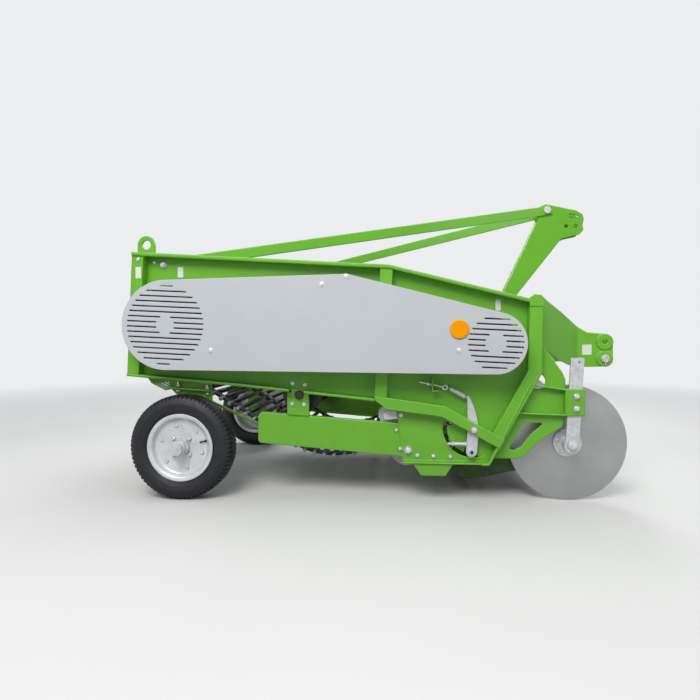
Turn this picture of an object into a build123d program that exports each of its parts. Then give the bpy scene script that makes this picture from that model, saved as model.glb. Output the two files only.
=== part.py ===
"""Two-row elevator potato digger: a mounted frame that lifts the crop on a rod web.

Frame: X forward, Y to the machine's left, Z up, millimetres, origin on the ground under
the middle of its box. Side pieces are drawn once, for the right side (-Y), then mirrored.
Points of side views are x, z. "In" and "out" are distances from the centre plane.
"""
from build123d import *
import math
import os

os.makedirs("parts", exist_ok=True)

# ---- running gear ---------------------------------------------------------------------
WHEEL_X = -1047          # wheel axle; the rear end of the body is placed from it
WHEEL_Y = 750            # half the wheel track
TYRE_R = 283
TYRE_W = 155
TREAD_W = 92
SIDEWALL_R = 232         # radius at the tyre's widest
RIM_SEAT_R = 165
RIM_W = 110              # between the rim flanges
RIM_FLANGE_R = 182
RIM_FLANGE_T = 6
RIM_T = 5
WHEEL_DISC_OUT = 24      # face of the wheel disc, outboard of the tyre's middle
WHEEL_DISC_T = 6
WHEEL_DISH = 10
HUB_FLANGE_R = 82
HUB_R = 45
HUB_L = 56               # barrel, outboard of the tyre's middle
HUB_CAP_R = 33
HUB_OUT = 864            # end of the hub cap from the centre plane
STUB_R = 20
RUN_GAP = 6              # between a turning piece and its neighbours
PIN_GAP = 0.3            # round a pin and beside a clamped face
LEG_T = 16
LEG_W = 92
LEG_HEAD = 244
LEG_HEAD_Z = (600, 585)  # underside of the head, rear and front
LEG_NECK_Z = 520
LEG_FLANGE_T = 10
STUB_END = 20            # end of the stub axle inside the hub cap

# ---- disc coulters --------------------------------------------------------------------
DISC_X = 1033
DISC_Y = 620             # mid plane of the blade
DISC_R = 312
DISC_T = 5
DISC_HUB_R = 75
DISC_HUB_T = 12
DISC_BARREL_R = 34
DISC_STUB_R = 15
ARM_TOP = (1056, 737)
ARM_W = 68
ARM_T = 12
ARM_BOSS_R = 42
PAD_T = 12
CLAMP_T = 10
CLAMP_L = 90
BRACKET_T = 8
BRACKET_TOP = [(837, 629), (1001, 607)]
BRACKET_FOOT = [(757, 483), (1001, 475)]

# ---- body -----------------------------------------------------------------------------
WALL_OUT = 690           # outer face of the side walls
WALL_T = 4
WALL_FRONT = 843
WALL_FRONT_Z = 715       # foot of the wall's front edge
RAIL_OUT = 750           # outer lip of the rails
RAIL_T = 4
TOP_LIP = 20
BOTTOM_LIP = 14
POST_INSET = 6           # the posts' faces lie inside the rails' lips by this
POST_OUT = RAIL_OUT - POST_INSET
POST_W = 66
NOSE_T = 8

# Edges of the side walls, from the rear to the front.
TOP_EDGE = [(WHEEL_X - 295, 1351), (77, 1263), (774, 1086), (872, 1061)]
BOTTOM_EDGE = [(WHEEL_X - 327, 678), (WHEEL_X + 317, 625), (0, 551)]
BAND_TOP = [(0, 566), (373, 515), (484, 449), (680, 345)]
BAND_BOTTOM = [(654, 295), (493, 384), (355, 459), (65, 495), (0, 545)]
BAND_MIDDLE = [(655, 325), (488, 416), (364, 487), (32, 538)]
# Posts: rear edge at the top rail, rear edge at the foot, and the edge they stand on.
POSTS = ((TOP_EDGE[0][0], BOTTOM_EDGE[0][0], BOTTOM_EDGE), (31, 0, BAND_TOP))
FRONT_POST_TOP = (806, 872)
FRONT_POST_FOOT = [(868, 690), (680, 345), (621, 376.4), (797, 700)]
CHEEK = [(110, 526), (118, 478), (150, 213), (606, 213), (654, 297)]
CHEEK_FLANGE_OUT = 735
CHEEK_FLANGE_T = 8
SKID = [(203, 205), (417, 205), (376, 140), (247, 140)]
SKID_OUT = 726
SKID_T = 12
NOSE_BACK = [(881, 842), (868, 1040), (800, 1040), (790, 700), (640, 420), (620, 232), (727, 232)]
NOSE_CURVE = [(727, 232), (792, 248), (828, 283), (875, 331), (929, 369), (990, 403)]
NOSE_FRONT = [(990, 403), (1004, 465), (1003, 658), (987, 695), (881, 842)]
D_SLOT = [(788, 424), (898, 426), (830, 367), (778, 296), (737, 276), (714, 285)]
D_SLOT_CORNER_R = 8
WINDOW = (862, 645)
WINDOW_R = 40
GUARD_BEAM = [(-648, 438), (-642, 455), (-628, 464), (97, 414), (124, 235), (-636, 293), (-648, 305)]
GUARD_IN = 652
GUARD_T = 5
HANGER_NECK = (-461, -380)
HANGER_SPAN = (-483, -361)
HANGER_SHOULDER = 575
HANGER_T = 8
LUG_X = WHEEL_X - 228
LUG_RISE = 48            # hole centre above the top rail
LUG_R = 50
LUG_HOLE_R = 25
LUG_T = 12
LUG_IN = 700

# ---- drive ----------------------------------------------------------------------------
REAR_PULLEY = (WHEEL_X - 60, 943)
FRONT_PULLEY = (613, 846)
COVER_APEX = (-142, 1178)
COVER_REAR_R = 239
COVER_FRONT_R = 157
COVER_APEX_R = 25
COVER_OUT = 850
COVER_T = 3
VENT_H = 7               # height of a vent slot
VENT_TILT = -2.8         # degrees, down to the front
# Vents of the cover: centre, pitch of the rows, rows, radius round the slots, plain middle.
VENTS = [(REAR_PULLEY, 27.6, 16, 210, 50), (FRONT_PULLEY, 27.3, 10, 138, 53)]
REAR_PULLEY_R = 196
FRONT_PULLEY_R = 116
PULLEY_W = 52
PULLEY_IN = 768          # inboard face of the pulleys
PULLEY_RIM = 14
PULLEY_WEB_T = 14
PULLEY_HUB_R = 42
DRIVE_BELT_T = 12
DRIVE_BELT_W = 40
SHAFT_R = 17.46          # 1 3/8 inch
SHAFT_TUBE_R = 40
BEARING_R = 62
BEARING_HOLE_R = 45
BEARING_T = 14
GEARBOX_L = 200
GEARBOX_W = 230
GEARBOX_H = 190
GEARBOX_FOOT = (40, 60)  # bracket's foot, in from the gearbox's rear and the beam's front
PTO_X = 905
REFLECTOR = (432, 917)
REFLECTOR_R = 48
REFLECTOR_T = 9

# ---- rod web --------------------------------------------------------------------------
WEB_HALF = 640
ROD_R = 13
ROD_PITCH = 56
ROD_SIDES = 6            # flats round a sleeved rod
WEB_BELT_W = 60
WEB_BELT_T = 12
WEB_BELT_OUT = 618       # outer side of the edge belts; the rods end outside them
ROLLER_W = 40
ROLLER_OUT = 608         # outboard face of the outer rollers
AXLE_R = 12
FRONT_IDLER_R = 60
TOP_ROLLER = (67, 452)
TOP_ROLLER_R = 52
ROCKER_BOLT = (141, 458)
ROCKER_W = 40
ROCKER_T = 8
AGITATOR = (-415, 563)
AGITATOR_R = 110
AGITATOR_SHAFT_R = 15
SPROCKET_R = 85
GUIDE = (WHEEL_X + 90, 647)
GUIDE_R = 50
RETURN_ROLLER = (178, 265)
RETURN_ROLLER_R = 98
# The slack of each run, as the arc of a wheel that isn't there.
TOP_SAG_R = 2500
TOP_SAG_TILT = 66        # degrees, across the upper run
BELLY = (-230, 702)
BELLY_R = 480

# ---- tension levers -------------------------------------------------------------------
PIVOT = (521, 391)
PIVOT_R = 10
LEVER_REACH = 121        # pivot to the idler's axle
IDLER_ANGLE = 266        # degrees, seen from the pivot
LEVER_SLOT_W = 36
LEVER_IN = 715
LEVER_T = 10
LEVER_W = 56
LEVER_TIP = (490, 568)
LEVER_BELLY = (536, 470)
SPRING_R = 12
SPRING_ENDS = [(478, 563), (399, 606)]
SPRING_HOOK = (488.2, 557.5)
SPRING_WIRE_R = 3
SPRING_BRACKET_FOOT = 40
EYE_BOLT_END = (238, 641)
EYE_BOLT_R = 6
SPRING_BRACKET_X = 302
SPRING_BRACKET_Z = (590, 665)

# ---- head -----------------------------------------------------------------------------
HEAD_BEAM = (780, 1000)
HEAD_BEAM_SIZE = 90
HEAD_BEAM_T = 6
HITCH_T = 12
HITCH_PLAN_BACK = (850, 678)
HITCH_PLAN_BEND = (1150, 430)
HITCH_SIDE = [
    (826, 800), (826, 1085), (869, 1104), (897, 1099), (931, 1075), (1031, 1018),
    (1141, 945), (1203, 909), (1296, 900), (1296, 713), (1189, 710), (1088, 723),
    (1006, 757), (922, 807),
]
HITCH_GAP = 52           # between the plates of a lower link clevis
LINK_X = 1300
LINK_UPPER_Z = 854
LINK_LOWER_Z = 758
LINK_BOSS_R = 46
LINK_BOSS_T = 6
LINK_BORE_R = 14.3
LINK_PIN_R = 14
MAST_OUT = 46            # outer face of the mast plates
MAST_T = 12
MAST_OUTLINE = [
    (752, 1045), (1029, 1640), (1046, 1732), (1080, 1743), (1122, 1733),
    (1269, 1699), (1306, 1675), (1315, 1644), (1308, 1606), (1313, 1575), (1290, 1546),
    (1214, 1530), (1173, 1515), (820, 1060), (820, 1045),
]
MAST_BACK_T = 8
MAST_PIVOT = (1083, 1702)
MAST_PIN_R = 14
TOP_LINK = (1265, 1598)
TOP_LINK_BORE_R = 12.8
SPARE_HOLE = (1206, 1599)
SPARE_HOLE_R = 12
LINK_SLOT = (1252, 1661)
LINK_SLOT_L = 68
LINK_SLOT_W = 24
LINK_SLOT_TILT = -12
BRACE_H = 58
BRACE_T = 10
BRACE_END = (WHEEL_X - 138, 1285)
BRACE_FLAT = 60          # flattened stretch at each end

# ---- share ----------------------------------------------------------------------------
SHARE_ARM = [
    (431, 128), (470, 106), (560, 98), (640, 108), (764, 142), (900, 178),
    (900, 215), (760, 300), (640, 300), (560, 140),
]
SHARE_ARM_T = 12
SHARE_REAR = (612, 350)
SHARE_STEP_X = 706
SHARE_TIP = (925, 160)
SHARE_T = 10
SHARE_HALF = 600
SHARE_TUBE_X = 668
SHARE_TUBE_R = 32

# ---- rear end -------------------------------------------------------------------------
# Curved grate behind the web, from its top to its foot, as distances behind the axle.
GRATE = [(249, 720), (245, 660), (215, 620), (133, 580)]
GRATE_T = 8
GRATE_PITCH = 44         # of the slots across the machine
GRATE_SLOT_W = 26
GRATE_SLOT_X = (205, 160)  # ends of the slots, behind the axle
GRATE_SLOTS = 28
CROSS_TUBE = (WHEEL_X - 243, 1250)
CROSS_TUBE_R = 30
STAY_W = 18
STAY_T = 4
STAY_TOP = (WHEEL_X + 66, 552)
STAY_LOW_Z = 402
NUT_R = 24
NUT_T = 12


def side(y):
    """Drawing plane of the right side at y outboard: x forward, y up, outward extrudes."""
    return Plane.XZ.offset(y)


def height_on(edge, x):
    """Height of an edge's line of points at x."""
    for (x0, z0), (x1, z1) in zip(edge, edge[1:]):
        if x <= x1 or (x1, z1) == edge[-1]:
            return z0 + (z1 - z0) * (x - x0) / (x1 - x0)


def lowered(edge, drop):
    return [(x, z - drop) for x, z in edge]


def strip(edge, drop):
    """Closed outline between an edge and the same edge drop lower."""
    return [*edge, *reversed(lowered(edge, drop))]


def plate(points, inner, thickness, mode=Mode.ADD):
    """Flat plate with straight edges, its inner face on the plane at inner."""
    with BuildSketch(side(inner)) as outline:
        with BuildLine():
            Polyline(*points, close=True)
        make_face()
    extrude(outline.sketch, amount=thickness, mode=mode)


def pan(points, back, face, t):
    """Tray of sheet t thick, open at the back, its face outboard."""
    plate(points, back, face - back)
    with BuildSketch(side(back)) as inside:
        with BuildLine():
            Polyline(*points, close=True)
        make_face()
        offset(amount=-t, kind=Kind.INTERSECTION)
    extrude(inside.sketch, amount=face - back - t, mode=Mode.SUBTRACT)


def bar(x, z, r, inner, outer, mode=Mode.ADD):
    """Round bar along Y on the right side, between two distances from the centre plane."""
    with BuildSketch(side(inner)) as outline:
        with Locations((x, z)):
            Circle(r)
    extrude(outline.sketch, amount=outer - inner, mode=mode)


def turned(profile, x, z, y=0.0):
    """Solid of revolution about Y at x, z; profile columns: distance outboard of y, radius."""
    plane = Plane(origin=(x, -y, z), x_dir=(0, -1, 0), z_dir=(-1, 0, 0))
    with BuildSketch(plane) as section:
        with BuildLine():
            Polyline(*profile, close=True)
        make_face()
    revolve(section.sketch, axis=Axis((x, 0, z), (0, 1, 0)))


def across(x, z, r, half, rollers=()):
    """Shaft across the machine, with rollers given as middle, width, radius."""
    profile = [(-half, 0), (-half, r)]
    for middle, width, roller_r in rollers:
        low, high = middle - width / 2, middle + width / 2
        profile += [(low, r), (low, roller_r), (high, roller_r), (high, r)]
    turned([*profile, (half, r), (half, 0)], x, z)


def loop_wire(wheels, grow):
    """Closed path round wheels given as x, z, r, turn: turn 1 has the wheel inside."""
    count = len(wheels)
    normals = []
    for i in range(count):
        ax, az, ar, at = wheels[i]
        bx, bz, br, bt = wheels[(i + 1) % count]
        lean = math.asin((at * ar - bt * br) / math.hypot(bx - ax, bz - az))
        normals.append(math.atan2(bz - az, bx - ax) - math.pi / 2 + lean)
    for i in range(count):
        x, z, r, turn = wheels[i]
        half_turn = 0 if turn > 0 else math.pi
        start, end = normals[i - 1] + half_turn, normals[i] + half_turn
        sweep = turn * ((turn * (end - start)) % (2 * math.pi))
        reach = r + turn * grow
        angles = (start, start + sweep / 2, start + sweep)
        spots = [(x + reach * math.cos(a), z + reach * math.sin(a)) for a in angles]
        ThreePointArc(*spots)
        bx, bz, br, bt = wheels[(i + 1) % count]
        arrive = normals[i] + (0 if bt > 0 else math.pi)
        far = br + bt * grow
        Line(spots[2], (bx + far * math.cos(arrive), bz + far * math.sin(arrive)))


def loop(wheels, inner, thickness, grow=0.0, mode=Mode.ADD):
    """Solid inside the closed path round the wheels, between two distances outboard."""
    with BuildSketch(side(inner)) as outline:
        with BuildLine() as path:
            loop_wire(wheels, grow)
        make_face(path.line)
    extrude(outline.sketch, amount=thickness, mode=mode)


def bent_plate(plan, outline):
    """Upright plate given by its plan (x, distance outboard) and its side view (x, z)."""
    with BuildSketch(Plane.XY) as plan_view:
        with BuildLine():
            Polyline(*[(x, -y) for x, y in plan], close=True)
        make_face()
    extrude(plan_view.sketch, amount=max(z for _, z in outline))
    with BuildSketch(side(0)) as side_view:
        with BuildLine():
            Polyline(*outline, close=True)
        make_face()
    extrude(side_view.sketch, amount=RAIL_OUT, mode=Mode.INTERSECT)


def pulley(r, x, z):
    """Flat-rimmed pulley with a web and a hub bored for the shaft."""
    bore, middle = SHAFT_R + PIN_GAP, PULLEY_IN + PULLEY_W / 2
    low, high = middle - PULLEY_WEB_T / 2, middle + PULLEY_WEB_T / 2
    far = PULLEY_IN + PULLEY_W
    profile = [
        (PULLEY_IN, bore), (PULLEY_IN, PULLEY_HUB_R), (low, PULLEY_HUB_R),
        (low, r - PULLEY_RIM), (PULLEY_IN, r - PULLEY_RIM), (PULLEY_IN, r), (far, r),
        (far, r - PULLEY_RIM), (high, r - PULLEY_RIM), (high, PULLEY_HUB_R),
        (far, PULLEY_HUB_R), (far, bore),
    ]
    turned(profile, x, z)


def save(piece, name):
    piece.part.label = name
    export_step(piece.part, f"parts/{name}.step")


WALL_IN = WALL_OUT - WALL_T
NOSE_IN = WALL_IN - NOSE_T
WHEEL_Z = TYRE_R
DISC_Z = DISC_R

# ---- side walls, rails and posts --------------------------------------------------------
with BuildPart() as side_walls:
    front_edge = [(WALL_FRONT, height_on(TOP_EDGE, WALL_FRONT) - RAIL_T), (WALL_FRONT, WALL_FRONT_Z)]
    upper_edge = lowered(TOP_EDGE[:-1], RAIL_T)
    plate([*upper_edge, *front_edge, *BAND_MIDDLE, *reversed(BOTTOM_EDGE)], WALL_IN, WALL_T)
    for shaft, r in ((REAR_PULLEY, BEARING_HOLE_R), (FRONT_PULLEY, SHAFT_TUBE_R + PIN_GAP)):
        bar(*shaft, r, WALL_IN, WALL_OUT, mode=Mode.SUBTRACT)
    mirror(about=Plane.XZ)

with BuildPart() as top_rails:
    plate(strip(TOP_EDGE, RAIL_T), WALL_IN, RAIL_OUT - WALL_IN)
    plate(strip(TOP_EDGE, TOP_LIP), RAIL_OUT - RAIL_T, RAIL_T)
    mirror(about=Plane.XZ)

with BuildPart() as bottom_rails:
    plate(strip(BOTTOM_EDGE, RAIL_T), WALL_IN, RAIL_OUT - WALL_IN)
    plate(strip(BOTTOM_EDGE, BOTTOM_LIP), RAIL_OUT - RAIL_T, RAIL_T)
    # Notch in front of the hangers' necks.
    notch = [(x, height_on(BOTTOM_EDGE, x)) for x in HANGER_NECK]
    hanger_out = WALL_IN + HANGER_T
    plate(strip(notch, BOTTOM_LIP), hanger_out, RAIL_OUT - hanger_out, mode=Mode.SUBTRACT)
    mirror(about=Plane.XZ)

with BuildPart() as side_posts:
    for top_x, foot_x, foot_edge in POSTS:
        top = [(x, height_on(TOP_EDGE, x) - RAIL_T) for x in (top_x, top_x + POST_W)]
        foot = [(x, height_on(foot_edge, x)) for x in (foot_x + POST_W, foot_x)]
        pan([*top, *foot], WALL_OUT, POST_OUT, RAIL_T)
    mirror(about=Plane.XZ)

with BuildPart() as front_posts:
    top = [(x, height_on(TOP_EDGE, x) - RAIL_T) for x in FRONT_POST_TOP]
    pan([*top, *FRONT_POST_FOOT], WALL_OUT, POST_OUT, RAIL_T)
    mirror(about=Plane.XZ)

# Bands between the walls and the cheeks, slotted for the tension levers.
with BuildPart() as front_bands:
    pan([*BAND_TOP, *BAND_BOTTOM], WALL_OUT, RAIL_OUT, RAIL_T)
    slot = [(PIVOT[0] + dx, PIVOT[1] + dz) for dx, dz in ((-55, -90), (60, -90), (60, 80), (-55, 80))]
    plate(slot, LEVER_IN - RUN_GAP, LEVER_T + 2 * RUN_GAP, mode=Mode.SUBTRACT)
    mirror(about=Plane.XZ)

# Lower side plates, with the arc slot in which the idler's axle swings.
with BuildPart() as cheeks:
    plate([*CHEEK, *BAND_MIDDLE[:-1]], WALL_IN, WALL_T)
    plate(strip(CHEEK[2:4], CHEEK_FLANGE_T), WALL_IN, CHEEK_FLANGE_OUT - WALL_IN)
    with BuildSketch(side(WALL_IN)) as arc_slot:
        with BuildLine(mode=Mode.PRIVATE) as arc_line:
            CenterArc(PIVOT, LEVER_REACH + 10, 176, 112)
        SlotArc(arc_line.line.edges()[0], LEVER_SLOT_W + 14)
    extrude(arc_slot.sketch, amount=WALL_T, mode=Mode.SUBTRACT)
    mirror(about=Plane.XZ)

with BuildPart() as skids:
    plate(SKID, SKID_OUT - SKID_T, SKID_T)
    mirror(about=Plane.XZ)

# Nose plates inside the front posts, with the D slot and the window over the bracket.
with BuildPart() as nose_plates:
    with BuildSketch(side(NOSE_IN)) as nose:
        with BuildLine():
            Polyline(*NOSE_BACK)
            Spline(*NOSE_CURVE)
            Polyline(*NOSE_FRONT)
        make_face()
        with Locations(WINDOW):
            Circle(WINDOW_R, mode=Mode.SUBTRACT)
    extrude(nose.sketch, amount=NOSE_T)
    with BuildSketch(side(NOSE_IN)) as d_slot:
        with BuildLine():
            Polyline(*D_SLOT, close=True)
        make_face()
        fillet(d_slot.vertices(), D_SLOT_CORNER_R)
    extrude(d_slot.sketch, amount=NOSE_T, mode=Mode.SUBTRACT)
    mirror(about=Plane.XZ)

with BuildPart() as guard_beams:
    pan(GUARD_BEAM, GUARD_IN, WALL_IN, GUARD_T)
    mirror(about=Plane.XZ)

# Hangers carry the guard beams and the shaft of the agitator wheels.
with BuildPart() as hangers:
    neck = [(x, height_on(BOTTOM_EDGE, x) - RAIL_T) for x in HANGER_NECK]
    shoulder = [(x, HANGER_SHOULDER) for x in (HANGER_NECK[1], *reversed(HANGER_SPAN), HANGER_NECK[0])]
    seat = [(x, height_on(GUARD_BEAM[2:4], x) + HANGER_T) for x in HANGER_SPAN]
    plate([*neck, *shoulder[:2], *reversed(seat), *shoulder[2:]], WALL_IN, HANGER_T)
    plate(strip(seat, HANGER_T), GUARD_IN, WALL_IN + HANGER_T - GUARD_IN)
    bar(*AGITATOR, AGITATOR_SHAFT_R + PIN_GAP, GUARD_IN, RAIL_OUT, mode=Mode.SUBTRACT)
    mirror(about=Plane.XZ)

with BuildPart() as lift_lugs:
    lug_z = height_on(TOP_EDGE, LUG_X) + LUG_RISE
    left, right = [(LUG_X + dx, height_on(TOP_EDGE, LUG_X + dx)) for dx in (-LUG_R, LUG_R)]
    with BuildSketch(side(LUG_IN)) as lug:
        with BuildLine():
            Polyline((left[0], lug_z), left, right, (right[0], lug_z))
            ThreePointArc((right[0], lug_z), (LUG_X, lug_z + LUG_R), (left[0], lug_z))
        make_face()
        with Locations((LUG_X, lug_z)):
            Circle(LUG_HOLE_R, mode=Mode.SUBTRACT)
    extrude(lug.sketch, amount=LUG_T)
    mirror(about=Plane.XZ)

with BuildPart() as rear_cross_tube:
    across(*CROSS_TUBE, CROSS_TUBE_R, WALL_IN)

with BuildPart() as rear_grate:
    curve = [(WHEEL_X - x, z) for x, z in GRATE]
    plate([*curve, *reversed([(x + GRATE_T, z + 2) for x, z in curve])], 0, WALL_IN)
    mirror(about=Plane.XZ)
    slot_x = [WHEEL_X - x for x in GRATE_SLOT_X]
    with BuildSketch(Plane.XY.offset(GRATE[-1][1])) as slots:
        with Locations((sum(slot_x) / 2, 0)):
            with GridLocations(0, GRATE_PITCH, 1, GRATE_SLOTS):
                Rectangle(slot_x[1] - slot_x[0], GRATE_SLOT_W)
    extrude(slots.sketch, amount=GRATE[0][1] - GRATE[-1][1], mode=Mode.SUBTRACT)

# ---- wheels ---------------------------------------------------------------------------
LEG_OUT = WHEEL_Y - TYRE_W / 2 - RUN_GAP - 4
LEG_IN = LEG_OUT - LEG_T

with BuildPart() as wheel_legs:
    half = LEG_W / 2
    rear, front = WHEEL_X - LEG_HEAD / 2, WHEEL_X + LEG_HEAD / 2
    rail_z = [(x, height_on(BOTTOM_EDGE, x)) for x in (rear, front)]
    under = list(zip((rear, front), LEG_HEAD_Z))
    knee = [under[1], (WHEEL_X + half, LEG_NECK_Z), (WHEEL_X + half, WHEEL_Z)]
    heel = [(WHEEL_X - half, WHEEL_Z), (WHEEL_X - half, LEG_NECK_Z), under[0]]
    plate([*lowered(rail_z, -30), *knee, *heel], LEG_IN, LEG_T)
    bar(WHEEL_X, WHEEL_Z, half, LEG_IN, LEG_OUT)
    pack = [*lowered(rail_z, -30), *reversed(rail_z)]
    plate(pack, LEG_OUT, WALL_IN - LEG_OUT)
    plate(strip(under, LEG_FLANGE_T), LEG_OUT, WALL_OUT - LEG_OUT)
    bar(*GUIDE, AXLE_R + PIN_GAP, 0, WALL_OUT, mode=Mode.SUBTRACT)
    bar(WHEEL_X, WHEEL_Z, STUB_R, LEG_OUT, HUB_OUT - STUB_END)
    mirror(about=Plane.XZ)

# Stays from the wheel legs to the rear ends of the guard beams.
with BuildPart() as beam_stays:
    stay_low = (GUARD_BEAM[0][0] - PIN_GAP, STAY_LOW_Z)
    plate(strip([STAY_TOP, stay_low], STAY_W), LEG_OUT, STAY_T)
    mirror(about=Plane.XZ)

with BuildPart() as tyre_right:
    w, seat = TYRE_W / 2, RIM_SEAT_R + PIN_GAP
    bead, lip = RIM_W / 2 - PIN_GAP, RIM_FLANGE_R + 1
    outer = [(bead, seat), (bead, lip), (w, SIDEWALL_R), (TREAD_W / 2, TYRE_R)]
    turned([*outer, *[(-u, r) for u, r in reversed(outer)]], WHEEL_X, WHEEL_Z, WHEEL_Y)

with BuildPart() as rim_right:
    inner_r, edge = RIM_SEAT_R - RIM_T, RIM_W / 2 + RIM_FLANGE_T
    face, back, bore = WHEEL_DISC_OUT, WHEEL_DISC_OUT - WHEEL_DISC_T, HUB_R + PIN_GAP
    barrel = [(edge, inner_r), (edge, RIM_FLANGE_R), (RIM_W / 2, RIM_FLANGE_R), (RIM_W / 2, RIM_SEAT_R)]
    back_side = [(-u, r) for u, r in reversed(barrel)]
    dish_back = [(back, inner_r), (back + WHEEL_DISH, 132), (back, 100), (back, bore)]
    dish_face = [(face, bore), (face, 100), (face + WHEEL_DISH, 134), (face, inner_r)]
    turned([*barrel, *back_side, *dish_back, *dish_face], WHEEL_X, WHEEL_Z, WHEEL_Y)

with BuildPart() as hub_right:
    start = LEG_OUT + RUN_GAP - WHEEL_Y
    end = HUB_OUT - WHEEL_Y
    bore = STUB_R + PIN_GAP
    stub_end = end - STUB_END + RUN_GAP
    profile = [
        (start, bore), (start, HUB_R), (back - 8, HUB_R), (back - 8, HUB_FLANGE_R),
        (back, HUB_FLANGE_R), (back, HUB_R), (HUB_L, HUB_R), (HUB_L, HUB_CAP_R),
        (end, HUB_CAP_R), (end, 0), (stub_end, 0), (stub_end, bore),
    ]
    turned(profile, WHEEL_X, WHEEL_Z, WHEEL_Y)

with BuildPart() as tyre_left:
    mirror(tyre_right.part, about=Plane.XZ)

with BuildPart() as rim_left:
    mirror(rim_right.part, about=Plane.XZ)

with BuildPart() as hub_left:
    mirror(hub_right.part, about=Plane.XZ)

# ---- disc coulters ------------------------------------------------------------------------
ARM_IN = WALL_IN + PAD_T
ARM_OUT = ARM_IN + ARM_T
CLAMP_OUT = ARM_OUT + CLAMP_T

with BuildPart() as disc_brackets:
    end_x, top_z, low_z = BRACKET_TOP[1][0], BRACKET_TOP[1][1], BRACKET_FOOT[1][1] - BRACKET_T
    plate(strip(BRACKET_TOP, BRACKET_T), WALL_IN, CLAMP_OUT - WALL_IN)
    plate(strip(BRACKET_FOOT, BRACKET_T), WALL_IN, CLAMP_OUT - WALL_IN)
    plate(strip([(end_x - BRACKET_T, top_z), (end_x, top_z)], top_z - low_z), WALL_IN, CLAMP_OUT - WALL_IN)
    pad = strip([(end_x, top_z), (end_x + CLAMP_L, top_z)], top_z - low_z)
    plate(pad, WALL_IN, PAD_T)
    plate(pad, ARM_OUT, CLAMP_T)
    mirror(about=Plane.XZ)

with BuildPart() as disc_arms:
    rise, run = ARM_TOP[1] - DISC_Z, ARM_TOP[0] - DISC_X
    with BuildSketch(side(ARM_IN)) as arm:
        with Locations((DISC_X + run / 2, DISC_Z + rise / 2)):
            lean = math.degrees(math.atan2(rise, run))
            SlotCenterToCenter(math.hypot(rise, run), ARM_W, rotation=lean)
        with Locations((DISC_X, DISC_Z)):
            Circle(ARM_BOSS_R)
    extrude(arm.sketch, amount=ARM_T)
    blade_in = DISC_Y - DISC_T / 2
    bar(DISC_X, DISC_Z, DISC_STUB_R, blade_in - RUN_GAP - NUT_T, ARM_IN)
    bar(DISC_X, DISC_Z, NUT_R, blade_in - RUN_GAP - NUT_T, blade_in - RUN_GAP)
    bar(DISC_X, DISC_Z, NUT_R, ARM_OUT, ARM_OUT + NUT_T)
    mirror(about=Plane.XZ)

with BuildPart() as blade_right:
    bar(DISC_X, DISC_Z, DISC_R, DISC_Y - DISC_T / 2, DISC_Y + DISC_T / 2)
    chamfer(blade_right.edges().filter_by(GeomType.CIRCLE).sort_by(SortBy.RADIUS)[-2:], DISC_T / 3)
    bar(DISC_X, DISC_Z, DISC_STUB_R + PIN_GAP, 0, RAIL_OUT, mode=Mode.SUBTRACT)

with BuildPart() as disc_hub_right:
    start, flange = DISC_Y + DISC_T / 2, DISC_Y + DISC_T / 2 + DISC_HUB_T
    end = ARM_IN - RUN_GAP
    bore = DISC_STUB_R + PIN_GAP
    profile = [
        (start, bore), (start, DISC_HUB_R), (flange, DISC_HUB_R),
        (flange, DISC_BARREL_R), (end, DISC_BARREL_R), (end, bore),
    ]
    turned(profile, DISC_X, DISC_Z)

with BuildPart() as blade_left:
    mirror(blade_right.part, about=Plane.XZ)

with BuildPart() as disc_hub_left:
    mirror(disc_hub_right.part, about=Plane.XZ)

# ---- belt drive on the right side -----------------------------------------------------------
COVER_LOOP = [
    (*FRONT_PULLEY, COVER_FRONT_R, 1),
    (*COVER_APEX, COVER_APEX_R, 1),
    (*REAR_PULLEY, COVER_REAR_R, 1),
]

# Sheet cover with two round vents, whose middle rows leave a plain centre.
with BuildPart() as drive_cover:
    loop(COVER_LOOP, POST_OUT, COVER_OUT - POST_OUT)
    loop(COVER_LOOP, POST_OUT, COVER_OUT - COVER_T - POST_OUT, grow=-COVER_T, mode=Mode.SUBTRACT)
    with BuildSketch(side(COVER_OUT - COVER_T)) as vents:
        for (x, z), pitch, rows, vent_r, plain_r in VENTS:
            with Locations(Location((x, z), VENT_TILT)):
                for row in range(rows):
                    rise = (row - (rows - 1) / 2) * pitch
                    reach = math.sqrt(vent_r ** 2 - rise ** 2)
                    inner = math.sqrt(max(plain_r ** 2 - rise ** 2, 0))
                    with Locations((-(reach + inner) / 2, rise), ((reach + inner) / 2, rise)):
                        Rectangle(reach - inner, VENT_H)
    extrude(vents.sketch, amount=COVER_T, mode=Mode.SUBTRACT)

with BuildPart() as side_reflector:
    bar(*REFLECTOR, REFLECTOR_R, COVER_OUT, COVER_OUT + REFLECTOR_T)
    chamfer(side_reflector.edges().sort_by(Axis.Y)[0], REFLECTOR_T / 3)

with BuildPart() as front_pulley:
    pulley(FRONT_PULLEY_R, *FRONT_PULLEY)

with BuildPart() as rear_pulley:
    pulley(REAR_PULLEY_R, *REAR_PULLEY)

with BuildPart() as drive_belts:
    belt_loop = [(*FRONT_PULLEY, FRONT_PULLEY_R, 1), (*REAR_PULLEY, REAR_PULLEY_R, 1)]
    belt_in = PULLEY_IN + (PULLEY_W - DRIVE_BELT_W) / 2
    loop(belt_loop, belt_in, DRIVE_BELT_W, grow=PIN_GAP + DRIVE_BELT_T)
    loop(belt_loop, belt_in, DRIVE_BELT_W, grow=PIN_GAP, mode=Mode.SUBTRACT)

GEARBOX_OUT = GEARBOX_W / 2

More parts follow.
